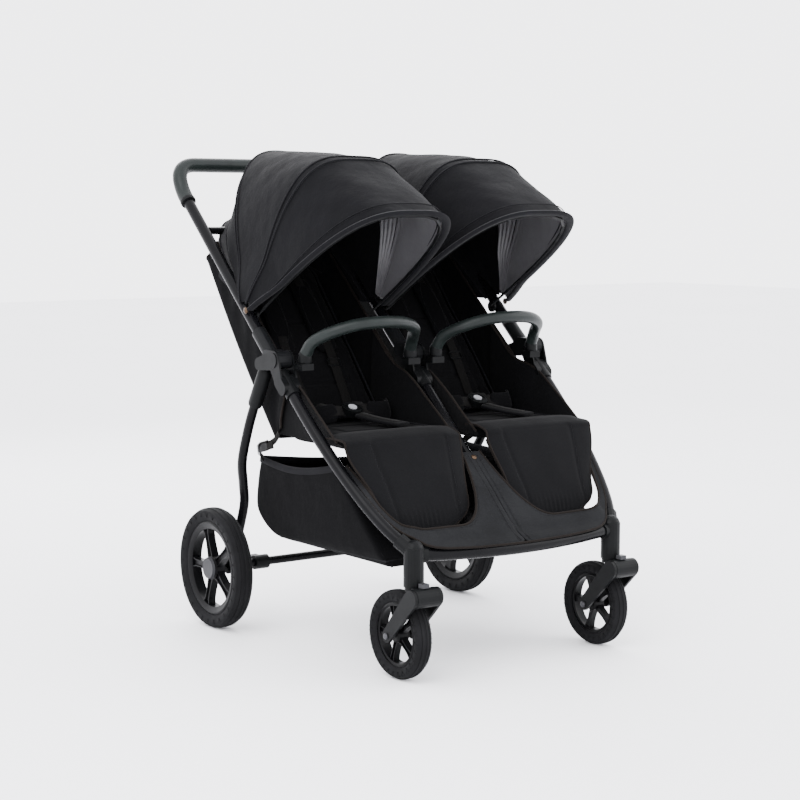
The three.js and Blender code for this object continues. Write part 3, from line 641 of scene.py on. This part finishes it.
def hood_rear(side, s, across):
    """The panel from the hood's rear bow down to the top of the seat."""
    rows = []
    for angle, height, power, half in (
            (48.5, 0.312, 3.2, 0.1713), (44.0, 0.329, 3.3, 0.1640), (39.5, 0.340, 3.5, 0.1590),
            (34.0, 0.329, 3.8, 0.1570), (29.0, 0.307, 4.2, 0.1555), (25.0, 0.292, 4.6, 0.1545),
            (22.4, 0.287, 5.0, 0.1535)):
        row = []
        for k in range(across + 1):
            turn = math.pi * (0.004 + 0.992 * k / across)
            x = half * math.copysign(abs(math.cos(turn)) ** (2 / power), math.cos(turn))
            r = max(0.024, height * math.sin(turn) ** (2 / power))
            fold = 0.003 * noise.noise(Vector((k * 0.14, angle * 0.09, 7.7 + s))) * smoothstep(r, 0.03, 0.2)
            row.append(at_hood(s * (HOOD_X + x), r + fold, angle))
        rows.append(row)
    rear = sheet_of(f"hood_rear_{side}", faced(rows, s > 0), HOOD_CLOTH, f"hood_carrier_{side}")
    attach(sweep(f"hood_rear_piping_{side}", rows[2], 0.0021, PIPING), f"hood_carrier_{side}")


def hoods():
    across = 72
    angles = []
    for (a0, _, _), (a1, _, _) in zip(HOOPS, HOOPS[1:]):
        n = max(4, round((a0 - a1) / 2.6))
        angles += [a0 + (a1 - a0) * k / n for k in range(n)]
    angles.append(HOOPS[-1][0])
    light = [a for a in angles if a >= 99]
    light = [a + (b - a) * k / 3 for a, b in zip(light, light[1:]) for k in range(3)] + [light[-1]]
    dark = [light[-1]] + [a for a in angles if a < light[-1]]
    for side, s in SIDES:
        rows = [[hood_point(s, a, k / across) for k in range(across + 1)] for a in angles]
        shell = sheet_of(f"hood_{side}", faced(rows, s > 0), HOOD_CLOTH, thick=0.0022)
        moving = [shell]
        for name, mat, turns, gathers in (("hood_lining", LINING, light, 1),
                                          ("hood_back_lining", DARK_LINING, dark, 0)):
            rows = [[under_hood(s, a, k / across, gathers) for k in range(across + 1)] for a in turns]
            lining = sheet_of(f"{name}_{side}", faced(rows, s < 0), mat, thick=0.001)
            moving.append(lining)
        hood_rear(side, s, across)
        moving.append(sweep(f"hood_hem_{side}", hoop_path(s, 149.6, 0.002), flat_section(0.020, 0.0075), PIPING,
                            side=(1, 0, 0)))
        inside = [[under_hood(s, a, k / 80, 0) + Vector((0, 0, -0.0006)) for k in range(81)]
                  for a in (146, 116.4, 99.6)]
        trims = [sweep("inner_seam", path, 0.0017, DARK_LINING) for path in inside]
        trims += [sweep("cord", hoop_path(s, a, -0.0012), r, PIPING) for a, r in
                  ((145.6, 0.0011), (117.2, 0.0021), (113.6, 0.0021), (65.3, 0.0019), (62.9, 0.0015))]
        trims += [stitches("thread", hoop_path(s, a, -0.0022)) for a in (146.3, 118.1, 112.7, 66.2)]
        moving.append(merge(f"hood_seams_{side}", trims))
        for part in moving:
            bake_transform(part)
        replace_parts(shell, f"hood_cloth_{side}")
        rivet = disc(f"hood_rivet_{side}", at(s * 0.3665, HOOD_AXIS[0] - 0.012, HOOD_AXIS[1] + 0.012),
                     (s, 0, 0), 0.0075, 0.004, BRASS, edge=0.5)
        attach(rivet, f"hood_carrier_{side}")


# ---------------------------------------------------------------- padded pieces
def slab_mesh(name, outline, corner, across, along, normal, low, high, mat):
    """A flat slab: an outline in two directions, given thickness from low to high along the normal."""
    n = len(outline)
    verts = [corner + across * u + along * v + normal * h for h in (low, high) for u, v in outline]
    faces = [tuple(reversed(range(n))), tuple(range(n, 2 * n))]
    faces += [(i, (i + 1) % n, n + (i + 1) % n, n + i) for i in range(n)]
    return piece(name, verts, faces, mat)


def puff(obj, voxel=0.006, cap=0.006):
    """Swells a closed shape like a stuffed cover, by cloth simulation, then rounds it once more."""
    obj.modifiers.new("even", "REMESH").voxel_size = voxel
    bake(obj)
    start = [v.co.copy() for v in obj.data.vertices]
    swell = obj.modifiers.new("swell", "CLOTH")
    swell.settings.use_pressure = True
    swell.settings.uniform_pressure_force = 4.0
    swell.settings.effector_weights.gravity = 0
    swell.point_cache.frame_start = 1
    swell.point_cache.frame_end = 20
    for step in range(1, 21):
        bpy.context.scene.frame_set(step)
    bake(obj)
    bpy.context.scene.frame_set(1)
    for v, was in zip(obj.data.vertices, start):
        move = v.co - was
        if move.length > cap:
            v.co = was + move.normalized() * cap
    obj.modifiers.new("round", "SUBSURF").levels = 1
    bake(obj)
    obj.data.shade_smooth()
    return obj


def groove(obj, paths, depth=0.0035, width=0.006):
    """Draws the cover in along sewn lines."""
    segments = [(a, b) for path in paths for a, b in zip(path, path[1:])]
    for v in obj.data.vertices:
        near = 1.0
        for a, b in segments:
            way = b - a
            t = min(1.0, max(0.0, (v.co - a).dot(way) / way.length_squared))
            near = min(near, (v.co - a - way * t).length)
            if near < 0.001:
                break
        if near < 3 * width:
            v.co -= v.normal * depth * math.exp(-(near / width) ** 2)


def padded_pair(pad, body, node):
    """The left pad and its mirror copy, each in place of its side's CAD node."""
    for obj, side in ((pad, "left"), (mirror_copy(pad), "right")):
        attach(obj, body if body == "chassis" else f"{body}_{side}")
        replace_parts(obj, f"{node}_{side}")


def mirror_copy(obj):
    copy = bpy.data.objects.new(obj.name.replace("left", "right"), obj.data.copy())
    bpy.context.scene.collection.objects.link(copy)
    copy.data.transform(Matrix.Scale(-1, 4, (1, 0, 0)))
    copy.data.flip_normals()
    return copy


def pad_along(name, path, width, thick, side, taper):
    """A stuffed strip along a path, round at both ends and crowned across."""
    path = [Vector(p) for p in path]
    rings = len(path)
    sides = 24
    across = Vector(side)
    verts = []
    for i, point in enumerate(path):
        way = (path[min(i + 1, rings - 1)] - path[max(i - 1, 0)]).normalized()
        across = (across - way * across.dot(way)).normalized()
        up = way.cross(across)
        t = i / (rings - 1)
        end = min(1.0, min(t, 1 - t) / taper * 1.4)
        full = math.sqrt(1 - (1 - end) ** 2)
        w = max(width / 2 * full, width * 0.06)
        h = thick / 2 * (0.35 + 0.65 * full)
        for a in around(sides):
            u = math.copysign(abs(math.cos(a)) ** 0.55, math.cos(a)) * w
            v = math.copysign(abs(math.sin(a)) ** 0.75, math.sin(a)) * h * (1 - 0.25 * (u / w) ** 4)
            verts.append(point + across * u + up * v)
    return piece(name, verts, ring_faces(rings, sides), BLACK_CLOTH)


def straight(a, b, count=24):
    return [Vector(a).lerp(Vector(b), t) for t in shares(count)]


BACK_ANGLE = math.radians(52)
BACK_UP = Vector((0, math.cos(BACK_ANGLE), math.sin(BACK_ANGLE)))
BACK_FRONT = Vector((0, -math.sin(BACK_ANGLE), math.cos(BACK_ANGLE)))
BACK_FOOT = at(0, 0.124, 0.486)


def on_back(x, up, front=0.0):
    return BACK_FOOT + RIGHTWARD * x + BACK_UP * up + BACK_FRONT * front


def seat_pads():
    corner = 0.026
    half = 0.134
    y0, y1 = -0.147, 0.094
    outline = []
    for cx, cy, start in ((half - corner, y1 - corner, 0), (-half + corner, y1 - corner, 90),
                          (-half + corner, y0 + corner, 180), (half - corner, y0 + corner, 270)):
        for k in range(7):
            a = math.radians(start + 15 * k)
            outline.append((cx + corner * math.cos(a), cy + corner * math.sin(a)))
    pad = slab_mesh("seat_cushion_left", outline, at(SEAT_X, 0, 0.470), RIGHTWARD, Vector((0, 1, 0)),
                    Vector((0, 0, 1)), 0, 0.0245, SEAT_CLOTH)
    puff(pad, cap=0.005)
    top = 0.500
    lines = [straight(at(SEAT_X + x, -0.13, top), at(SEAT_X + x, 0.09, top), 4) for x in (-0.088, 0.088)]
    lines += [straight(at(SEAT_X - 0.088, y, top), at(SEAT_X + 0.088, y, top), 4) for y in (-0.075, 0.012)]
    groove(pad, lines, 0.003, 0.005)
    padded_pair(pad, "chassis", "seat_pad")
    for side, s in SIDES:
        rim = [at(s * SEAT_X + x, y, 0.4955) for x, y in outline]
        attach(sweep(f"seat_piping_{side}", rim, 0.0021, PIPING, closed=True), "chassis")


def backrests():
    def half_at(up):
        return 0.134 - 0.016 * smoothstep(up, 0.05, 0.46)
    outline = [(-half_at(0.015) + 0.01, 0.015), (half_at(0.015) - 0.01, 0.015)]
    outline += [(half_at(u), u) for u in (0.03, 0.12, 0.22, 0.32, 0.40)]
    corner = 0.052
    for k in range(9):
        a = math.radians(90 * k / 8)
        outline.append((half_at(0.46) - corner + corner * math.cos(a), 0.464 - corner + corner * math.sin(a)))
    outline += [(-u, v) for u, v in outline[:1:-1]]
    pad = slab_mesh("back_cushion_left", outline, on_back(SEAT_X, 0, 0), RIGHTWARD, BACK_UP, BACK_FRONT,
                    -0.012, 0.012, SEAT_CLOTH)
    puff(pad, cap=0.006)
    f = 0.017
    lines = [[on_back(SEAT_X + s * x, u, f) for u, x in
              ((0.03, 0.094), (0.2, 0.096), (0.37, 0.090), (0.445, 0.078))] for s in (-1, 1)]
    lines += [straight(on_back(SEAT_X - 0.095, u, f), on_back(SEAT_X + 0.095, u, f), 4)
              for u in (0.105, 0.19, 0.275)]
    arc = [on_back(SEAT_X + 0.09 * math.cos(math.radians(a)), 0.345 + 0.035 * math.sin(math.radians(a)), f)
           for a in range(0, 181, 15)]
    groove(pad, lines + [arc], 0.0042, 0.006)
    padded_pair(pad, "back", "backrest")
    for side, s in SIDES:
        rim = [on_back(s * SEAT_X + x, u, 0.011) for x, u in outline]
        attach(sweep(f"back_piping_{side}", curve_points(rim, 2), 0.0021, PIPING), f"back_{side}")


def shells():
    """The fabric tub behind and beside each backrest."""
    x_out, x_in, bend = 0.3215, 0.0300, 0.018
    turns = [math.radians(90 * k / 8) for k in range(1, 8)]
    for side, s in SIDES:
        rows = []
        for up in (-0.008 + 0.497 * k / 34 for k in range(35)):
            low = smoothstep(up, -0.012, 0.085)
            edge = min(0.020 + (0.1237 - 0.1777 * (up - 0.077) - 0.020) * low, 0.1215)
            rear = -0.0235 - 0.008 * math.sin(math.pi * min(1, max(0, up / 0.48)))
            row = []
            for t in shares(14):
                f = edge + (rear + bend - edge) * t
                fold = 0.0022 * math.sin(up * 38 + t * 5) * math.sin(math.pi * t)
                fold += 0.003 * noise.noise(Vector((f * 14, up * 9, 2.0 + s)))
                row.append((x_out - abs(fold) - 0.002 * math.sin(math.pi * t), f))
            row += [(x_out - bend + bend * math.cos(a), rear + bend - bend * math.sin(a)) for a in turns]
            for t in shares(16):
                x = x_out - bend + (x_in + bend - (x_out - bend)) * t
                fold = 0.004 * noise.noise(Vector((x * 11, up * 8, 5.0 + s)))
                row.append((x, rear - 0.006 * math.sin(math.pi * t) + fold))
            row += [(x_in + bend - bend * math.sin(a), rear + bend - bend * math.cos(a)) for a in turns]
            for t in shares(14):
                fold = 0.002 * math.sin(up * 34 + t * 4) * math.sin(math.pi * t)
                row.append((x_in + abs(fold), rear + bend + (edge - rear - bend) * t))
            rows.append([on_back(s * x, up, f) for x, f in row])
        shell = sheet_of(f"seat_tub_{side}", faced(rows, s < 0), BLACK_CLOTH, f"back_{side}", offset=1.0)
        edges = [sweep("edge", [r[0] for r in rows], 0.0027, BINDING),
                 sweep("edge", [r[-1] for r in rows], 0.0027, BINDING),
                 sweep("top", rows[-1], 0.0027, BINDING),
                 sweep("rear", [r[18] for r in rows], 0.0019, PIPING),
                 stitches("sew", [r[2] + Vector((s * 0.0006, 0, 0)) for r in rows])]
        trim = merge(f"seat_tub_edges_{side}", edges, f"back_{side}")
        for obj in (shell, trim):
            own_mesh(obj)


def gussets():
    """Cloth walls from the seat's sides up towards the frame tubes."""
    edge = [(-0.150, 0.486), (-0.115, 0.512), (-0.060, 0.552), (-0.010, 0.588), (0.030, 0.610),
            (0.066, 0.622), (0.099, 0.641), (0.132, 0.671), (0.162, 0.697)]
    top = curve_points([Vector((0, y, z)) for y, z in edge], 6)
    for side, s in SIDES:
        for name, x_low, x_high in (("outer", 0.3155, 0.3360), ("inner", 0.0395, 0.0330)):
            outer = name == "outer"
            rows = []
            for t in shares(10):
                row = []
                for p in top:
                    low = 0.476 + 1.3 * max(0, p.y - 0.122)
                    z = low + (p.z - low) * t
                    bow = 0.0025 * math.sin(math.pi * t) * (1 if outer else -1)
                    fold = 0.0016 * noise.noise(Vector((p.y * 16, z * 13, x_low * 9 + s)))
                    reach = (x_high - x_low) * (1 - smoothstep(p.y, -0.010, 0.075) if outer else 1)
                    row.append(at(s * (x_low + reach * t ** 0.7 - bow + fold), p.y, z))
                rows.append(row)
            wall = sheet_of(f"seat_side_{name}_{side}", faced(rows, (s > 0) != outer), SEAT_CLOTH,
                            "chassis", offset=0)
            binding = sweep(f"seat_side_binding_{name}_{side}", rows[-1], 0.0024, BINDING)
            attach(binding, "chassis")
            for obj in (wall, binding):
                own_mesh(obj)


def strap(points, steps, side=(1, 0, 0)):
    return sweep("web", curve_points(points, steps), flat_section(0.024, 0.0016), WEBBING, side=side)


def beside(x, hand, *points):
    """Points whose first number is a distance from x towards one hand, 1 or -1."""
    return [at(x + hand * out, y, z) for out, y, z in points]


def harness():
    for side, s in SIDES:
        cx = s * SEAT_X
        body = f"back_{side}"
        for hand in (-1, 1):
            which = f"{side}_{'a' if hand < 0 else 'b'}"
            x = cx + hand * 0.047
            path = [on_back(x + hand * 0.010 * (1 - t), 0.185 + 0.215 * t,
                            0.0225 + 0.003 * math.sin(math.pi * t)) for t in shares(26)]
            pad = pad_along(f"shoulder_pad_{which}", path, 0.056, 0.012, (1, 0, 0), 0.13)
            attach(pad, body)
            rim = [path[13] + BACK_FRONT * 0.0052 + RIGHTWARD * (0.022 * math.cos(a))
                   + BACK_UP * (0.080 * math.sin(a)) for a in (2 * math.pi * k / 40 for k in range(41))]
            low = [on_back(x + hand * out, up, front) for out, up, front in (
                (0.010, 0.23, 0.0305), (0.012, 0.17, 0.0265), (0.010, 0.09, 0.0215), (0.006, 0.045, 0.0215))]
            high = [on_back(x, up, front) for up, front in
                    ((0.37, 0.0315), (0.405, 0.0265), (0.425, 0.0195), (0.434, 0.014))]
            slide = [on_back(x + hand * 0.0115 + dx, 0.155 + du, 0.0262) for dx, du in (
                (0, -0.009), (0.016, -0.009), (0.016, 0.009), (-0.016, 0.009), (-0.016, -0.009), (0, -0.009))]
            merge(f"shoulder_web_{which}",
                  [strap(low, 8), strap(high, 6), stitches("sew", rim),
                   sweep("slider", rounded_corners(slide, [0.003] * 4, 3), 0.0022, PLASTIC)], body)
            path = curve_points(beside(cx, hand, (0.124, 0.078, 0.531), (0.108, 0.052, 0.524),
                                       (0.075, 0.038, 0.5235), (0.038, 0.036, 0.5270)), 9)
            hip = pad_along(f"waist_pad_{which}", path, 0.042, 0.010, (0, 0.42, 0.9), 0.16)
            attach(hip, "chassis")
            across = beside(cx, hand, (0.060, 0.037, 0.5300), (0.040, 0.036, 0.5312), (0.018, 0.036, 0.5290))
            rising = beside(cx, hand, (0.052, 0.094, 0.5405), (0.040, 0.068, 0.537), (0.020, 0.047, 0.532))
            merge(f"waist_web_{which}", [strap(across, 6, (0, 0.5, 0.85)), strap(rising, 6)], "chassis")
        path = curve_points(beside(cx, 1, (0.002, 0.012, 0.5220), (0.012, -0.020, 0.5165), (0.028, -0.055, 0.5110),
                                   (0.046, -0.088, 0.5075), (0.052, -0.100, 0.5065)), 8)
        pad = pad_along(f"crotch_pad_{side}", path, 0.052, 0.011, (0.9, 0.4, 0), 0.18)
        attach(pad, "chassis")
        sweep(f"crotch_web_{side}", [p + Vector((0, 0, 0.0055)) for p in path[2:-9]],
              flat_section(0.024, 0.0015), WEBBING, "chassis", side=(0.9, 0.4, 0))
        tilt = Matrix.Rotation(math.radians(24), 3, "X")
        ring = [at(cx, 0.036, 0.530) + tilt @ Vector((0.0185 * math.cos(a), 0.0185 * math.sin(a), 0.0083))
                for a in around(40)]
        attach(sweep(f"buckle_rim_{side}", ring, 0.0011, PLASTIC, closed=True), "chassis")


# ---------------------------------------------------------------- legrests and footrest
def legrests():
    along = Vector((0, *LEG_DOWN))
    front = Vector((0, *LEG_FRONT))
    pivot = at(0, *LEG_PIVOT)

    def half_at(t):
        if t < 0.124:
            return 0.137 - 0.022 * smoothstep(t, 0.0, 0.140)
        f = min(1.0, (t - 0.124) / 0.074)
        return 0.1168 - 0.008 * f - 0.040 * f ** 3.4

    ts = [0.012 + 0.185 * (1 - (1 - k / 26) ** 1.6) for k in range(27)]
    outline = [(half_at(t) - 0.004, t) for t in ts]
    outline += [(-x, t) for x, t in outline[::-1]]
    pad = slab_mesh("legrest_pad_left", [(x, -t) for x, t in outline[::-1]], pivot + RIGHTWARD * SEAT_X,
                    RIGHTWARD, -along, front, -0.017, -0.001, LEG_CLOTH)
    puff(pad, voxel=0.005, cap=0.005)
    padded_pair(pad, "legrest", "legrest")
    for side, s in SIDES:
        rim = [Vector((s * SEAT_X + x * 1.02, 0, 0)) + pivot + along * (t + 0.0035) - front * 0.003
               for x, t in outline]
        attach(sweep(f"legrest_edge_{side}", curve_points(rim, 2), 0.0027, BINDING), f"legrest_{side}")


def apron():
    """The footrest surround: cloth stretched between the tubes, with an opening in front of each legrest."""
    sill = -0.494
    top = -0.300

    def bend(points, count):
        a, b, c = (Vector(p) for p in points)
        return [a.lerp(b, t).lerp(b.lerp(c, t), t) for t in shares(count)]

    opening = [Vector((0.322, top)), Vector((0.311, -0.350))]
    opening += bend([(0.300, -0.400), (0.282, sill), (0.215, sill)], 18)
    opening += [Vector((0.187, sill)), Vector((0.158, sill))]
    opening += bend([(0.130, sill), (0.052, sill), (0.024, top)], 24)
    outer = [(0.335, top), (0.3235, -0.364), (0.305, -0.440), (0.287, -0.478), (0.265, -0.508), (0.243, -0.534),
             (0.200, -0.5525), (0.120, -0.5605), (0.050, -0.563), (0.0, -0.564)]
    edge = curve_points([Vector((x, u, 0)) for x, u in outer], 6)
    middle = [Vector((0, -0.564 + 0.264 * k / 24, 0)) for k in range(1, 25)]
    split = 0.57

    def along(path, t):
        spot = min(max(t, 0), 1) * (len(path) - 1)
        k = min(int(spot), len(path) - 2)
        return path[k].lerp(path[k + 1], spot - k)

    def hugging(t):
        return along(edge, t / split) if t <= split else along([edge[-1]] + middle, (t - split) / (1 - split))

    def height(x, u):
        dip = 0.0035 * smoothstep(-u, 0.40, 0.50) * (1 - (x / 0.30) ** 2)
        over_bar = 0.006 * smoothstep(-u, 0.532, 0.560)
        side_drop = 0.0085 * smoothstep(abs(x) - 0.300 + 0.9 * smoothstep(-u, 0.34, 0.50) * 0.06, 0.0, 0.024)
        side_drop *= 1 - smoothstep(-u, 0.485, 0.525)
        wave = 0.0010 * noise.noise(Vector((x * 20, u * 20, 4)))
        return 0.0158 + over_bar - side_drop - dip * (1 - smoothstep(-u, 0.52, 0.55)) + wave

    rows = []
    for i, p in enumerate(opening):
        q = hugging(i / (len(opening) - 1))
        rows.append([Vector((p.x + (q.x - p.x) * k / 8, p.y + (q.y - p.y) * k / 8)) for k in range(9)])
    grids = [[[on_frame(s * p.x, p.y, height(p.x, p.y)) for p in row] for row in rows] for _, s in SIDES]
    halves = [sheet_of("half", faced(grid, s < 0), GREY_CLOTH, thick=0.0022, offset=0)
              for grid, (_, s) in zip(grids, SIDES)]
    cover = merge("footrest_cover", halves, "chassis")
    cover.data.shade_smooth()
    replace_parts(cover, "footrest_apron")
    trims = []
    for grid, (_, s) in zip(grids, SIDES):
        trims.append(sweep("binding", [row[0] for row in grid], 0.0029, BINDING))
        trims.append(stitches("sew", [row[1].lerp(row[0], 0.35) + Vector((0, -0.001, 0.0012)) for row in grid]))
        rim = [on_frame(s * p.x, p.y, height(p.x, p.y) - 0.0005) for p in edge[::3]]
        rim.append(on_frame(0, edge[-1].y, height(0, edge[-1].y)))
        trims.append(sweep("hem", rim, 0.0026, BINDING))
        seam = [on_frame(s * 0.0125, u, height(0, u) + 0.0013)
                for u in (-0.312 - 0.246 * k / 30 for k in range(31))]
        trims.append(sweep("seam", seam, 0.0010, GREY_CLOTH))
        trims.append(stitches("sew", [p + RIGHTWARD * (s * 0.004) for p in seam]))
    merge("footrest_trim", trims, "chassis")
    out = Vector((0, -math.sin(TUBE_ANGLE), math.cos(TUBE_ANGLE)))
    rivet = disc("apron_rivet", on_frame(0, -0.318, 0.0168), out, 0.0065, 0.003, BRASS, edge=0.5)
    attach(rivet, "chassis")


def knees():
    """The cloth that runs from each seat over its front edge and down the front of the legrest."""

    def low(t, lift):
        return [a + down * t + front * lift for a, down, front in zip(LEG_PIVOT, LEG_DOWN, LEG_FRONT)]

    points = [(-0.104, 0.5015), (-0.132, 0.5042), (-0.154, 0.5030)]
    points += [low(0.000, 0.0125), low(0.013, 0.0105), low(0.032, 0.0088)]
    points += [low(t, 0.0082) for t in (0.06, 0.09, 0.12, 0.15, 0.175)] + [low(0.198, 0.006), low(0.204, 0.000)]
    profile = curve_points([Vector((0, y, z)) for y, z in points], 4)

    def reach(t):
        """Half widths towards the frame tube and towards the middle, at a distance down the legrest."""
        wide = 0.160 - 0.0435 * smoothstep(t, 0.010, 0.150)
        inner = 0.1385 - 0.021 * smoothstep(t, 0.0, 0.145)
        f = min(1.0, max(0.0, (t - 0.124) / 0.080))
        turn = 0.006 * f + 0.052 * f ** 3.6
        return wide - turn, inner - turn

    def seam_at(t):
        return 0.096 - 0.018 * smoothstep(t, 0.0, 0.18)

    for side, s in SIDES:
        rows = []
        depths = []
        for p in profile:
            t = (p.y - LEG_PIVOT[0]) * LEG_DOWN[0] + (p.z - LEG_PIVOT[1]) * LEG_DOWN[1]
            depths.append(t)
            wide, inner = reach(t)
            row = []
            for j in range(57):
                x = -inner + (wide + inner) * j / 56
                share = 2 * j / 56 - 1
                puffed = 0.0030 * (1 - abs(share) ** 5) * smoothstep(t, -0.02, 0.03)
                puffed *= 1 - smoothstep(t, 0.17, 0.20)
                seam = 0.0030 * math.exp(-(((abs(x) - seam_at(t)) / 0.0045) ** 2)) * smoothstep(t, 0.000, 0.008)
                fold = 0.0032 * math.exp(-(((t - 0.004) / 0.0042) ** 2))
                fold *= 1 - smoothstep(abs(x), 0.090, 0.104)
                gathers = 0.0014 * math.sin(x * 520 + 9 * t) * smoothstep(t, 0.150, 0.186)
                gathers *= 1 - smoothstep(t, 0.194, 0.203)
                wave = 0.0012 * noise.noise(Vector((x * 17, t * 17, 2 + s)))
                lift = puffed - seam - fold + gathers + wave
                lift -= 0.005 * abs(share) ** 9 * smoothstep(t, -0.04, 0.0)
                drop = 0.010 * abs(share) ** 8 * (1 - smoothstep(t, -0.03, 0.0)) * (1 if j > 28 else 0.4)
                row.append(at(s * (SEAT_X + x), p.y + LEG_FRONT[0] * lift, p.z + LEG_FRONT[1] * lift - drop))
            rows.append(row)
        cover = sheet_of(f"legrest_cover_{side}", faced(rows, s > 0), LEG_CLOTH, thick=0.0016, offset=0)
        rim = [r[0] for r in rows] + rows[-1][1:-1] + [r[-1] for r in rows[::-1]]
        trims = [sweep("edge", rim, 0.0023, BINDING)]
        first = next(k for k, t in enumerate(depths) if t > 0.004)
        for sign in (-1, 1):
            line = []
            for k in range(first, len(rows) - 9):
                wide, inner = reach(depths[k])
                j = round((sign * (seam_at(depths[k]) + 0.0045) + inner) / (wide + inner) * 56)
                line.append(rows[k][j] + Vector((0, *LEG_FRONT)) * 0.0007)
            trims.append(stitches("sew", line))
        trim = merge(f"legrest_cover_edges_{side}", trims)
        for obj in (cover, trim):
            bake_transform(obj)


# ---------------------------------------------------------------- basket
def basket():
    """A hanging fabric basket: one lofted shell that sags between its corners."""
    half = 0.284
    front_low, front_high = (-0.262, 0.232), (-0.062, 0.418)
    rear = curve_points([Vector(p) for p in ((0.160, 0.2305), (0.214, 0.2415), (0.262, 0.268), (0.280, 0.300),
                                             (0.272, 0.352), (0.258, 0.404))], 8)

    def ring(f):
        """One closed outline at a height from 0 at the floor to 1 at the rim."""
        y0 = front_low[0] + (front_high[0] - front_low[0]) * f
        z0 = front_low[1] + (front_high[1] - front_low[1]) * f
        spot = f * (len(rear) - 1)
        k = min(int(spot), len(rear) - 2)
        y1, z1 = rear[k].lerp(rear[k + 1], spot - k)
        pts = []
        count = 28
        bulge = 0.004 * math.sin(math.pi * f)
        tuck = 0.010 * (1 - smoothstep(f, 0.0, 0.12))
        for a, b in (((-1, 0), (1, 0)), ((1, 0), (1, 1)), ((1, 1), (-1, 1)), ((-1, 1), (-1, 0))):
            for k in range(count):
                t = k / count
                u = a[0] + (b[0] - a[0]) * t
                v = a[1] + (b[1] - a[1]) * t
                x = (half - tuck) * u
                y = y0 + (y1 - y0) * v
                z = z0 + (z1 - z0) * v
                mid = math.sin(math.pi * t)
                if a[1] == b[1]:
                    z -= 0.022 * mid * f ** 2
                    y += (1 if a[1] else -1) * (-0.002 + bulge) * mid
                else:
                    x += math.copysign(bulge * mid - 0.003 * mid * f, u)
                    z -= 0.016 * mid * f ** 2
                x += 0.0016 * noise.noise(Vector((y * 18, z * 26, u)))
                y += 0.0016 * noise.noise(Vector((x * 18, z * 26, 7 + v)))
                pts.append(at(x, y, z))
        return pts

    rings = [ring(f) for f in (0, 0.02, 0.06, 0.12, 0.2, 0.3, 0.4, 0.5, 0.6, 0.7, 0.8, 0.9, 0.96, 1)]
    n = len(rings[0])
    verts = [p for r in rings for p in r]
    faces = ring_faces(len(rings), n, capped=False)
    q = n // 4
    base = rings[0]
    grid = {}
    for i in range(q + 1):
        for j in range(q + 1):
            if j == 0:
                key = i
            elif j == q:
                key = 3 * q - i
            elif i == 0:
                key = (n - j) % n
            elif i == q:
                key = q + j
            else:
                u, v = i / q, j / q
                rise = Vector((0, 0, 0.0035 * math.sin(math.pi * u) * math.sin(math.pi * v)))
                verts.append(base[i].lerp(base[3 * q - i], v) + rise)
                key = len(verts) - 1
            grid[i, j] = key
    faces += [(grid[i, j], grid[i, j + 1], grid[i + 1, j + 1], grid[i + 1, j])
              for i in range(q) for j in range(q)]
    shell = piece("basket_cloth", verts, faces, BLACK_CLOTH, "chassis", level=1, thick=0.0016, offset=1.0)
    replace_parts(shell, "basket")
    trims = [sweep("hem", rings[-1], flat_section(0.016, 0.0035), PIPING, side=(0, 0, 1), closed=True)]
    for k in (0, q, 2 * q, 3 * q):
        trims.append(sweep("corner", [(r[k - 1] + r[k] * 2 + r[k + 1]) / 4 for r in rings], 0.0024, PIPING))
    trims.append(sweep("base", rings[2], 0.0020, PIPING, closed=True))
    for _, s in SIDES:
        run = curve_points(beside(0, s, (0.287, 0.236, 0.406), (0.306, 0.222, 0.424), (0.3275, 0.186, 0.440),
                                  (0.3285, 0.150, 0.450), (0.3285, 0.118, 0.464), (0.328, 0.100, 0.482)), 8)
        trims.append(sweep("strap", run, flat_section(0.016, 0.0016), WEBBING, side=(0, 0.3, 1)))
        trims.append(sweep("clip", run[10:26], flat_section(0.024, 0.0085), GLOSS, side=(0, 0.3, 1)))
        tail = [p + Vector((s * 0.003, 0.004 * k / 9, -0.010 * k / 9)) for k, p in enumerate(run[22:34])]
        trims.append(sweep("tail", tail, flat_section(0.015, 0.0015), WEBBING, side=(0, 0.3, 1)))
    merge("basket_trim", trims, "chassis")


# ---------------------------------------------------------------- floor and light
def studio():
    bpy.ops.mesh.primitive_plane_add(size=30, location=(0, 0, 0))
    floor = bpy.context.object
    floor.name = "floor"
    mat, shader, new = nodes_of("studio_floor", (0.86, 0.86, 0.88), 0.75)
    tint = shades(new, noise_at(new, 0.6, 2.0).outputs["Fac"], (0.85, 0.85, 0.87), (0.875, 0.875, 0.89))
    new.link(tint, shader.inputs["Base Color"])
    floor.data.materials.append(mat)
    world = bpy.data.worlds.new("studio")
    world.use_nodes = True
    world.node_tree.nodes["Background"].inputs["Color"].default_value = (0.97, 0.97, 1.0, 1)
    world.node_tree.nodes["Background"].inputs["Strength"].default_value = 4.4
    bpy.context.scene.world = world
    for name, spot, size, power, aim in (
            ("key", (-2.6, -1.6, 3.0), 2.6, 120, (0, 0, 0.6)),
            ("fill", (2.8, -2.2, 2.0), 2.4, 55, (0, 0, 0.5)),
            ("rim", (0.6, 3.0, 2.6), 2.6, 90, (0, 0, 0.8))):
        data = bpy.data.lights.new(name, "AREA")
        data.size = size
        data.energy = power
        lamp = bpy.data.objects.new(name, data)
        lamp.location = spot
        lamp.rotation_euler = (Vector(aim) - Vector(spot)).to_track_quat("-Z", "Y").to_euler()
        bpy.context.scene.collection.objects.link(lamp)


frame_tubes()
push_bar()
bumper_bars()
wheels()
hoods()
seat_pads()
backrests()
shells()
gussets()
harness()
legrests()
knees()
apron()
basket()
studio()
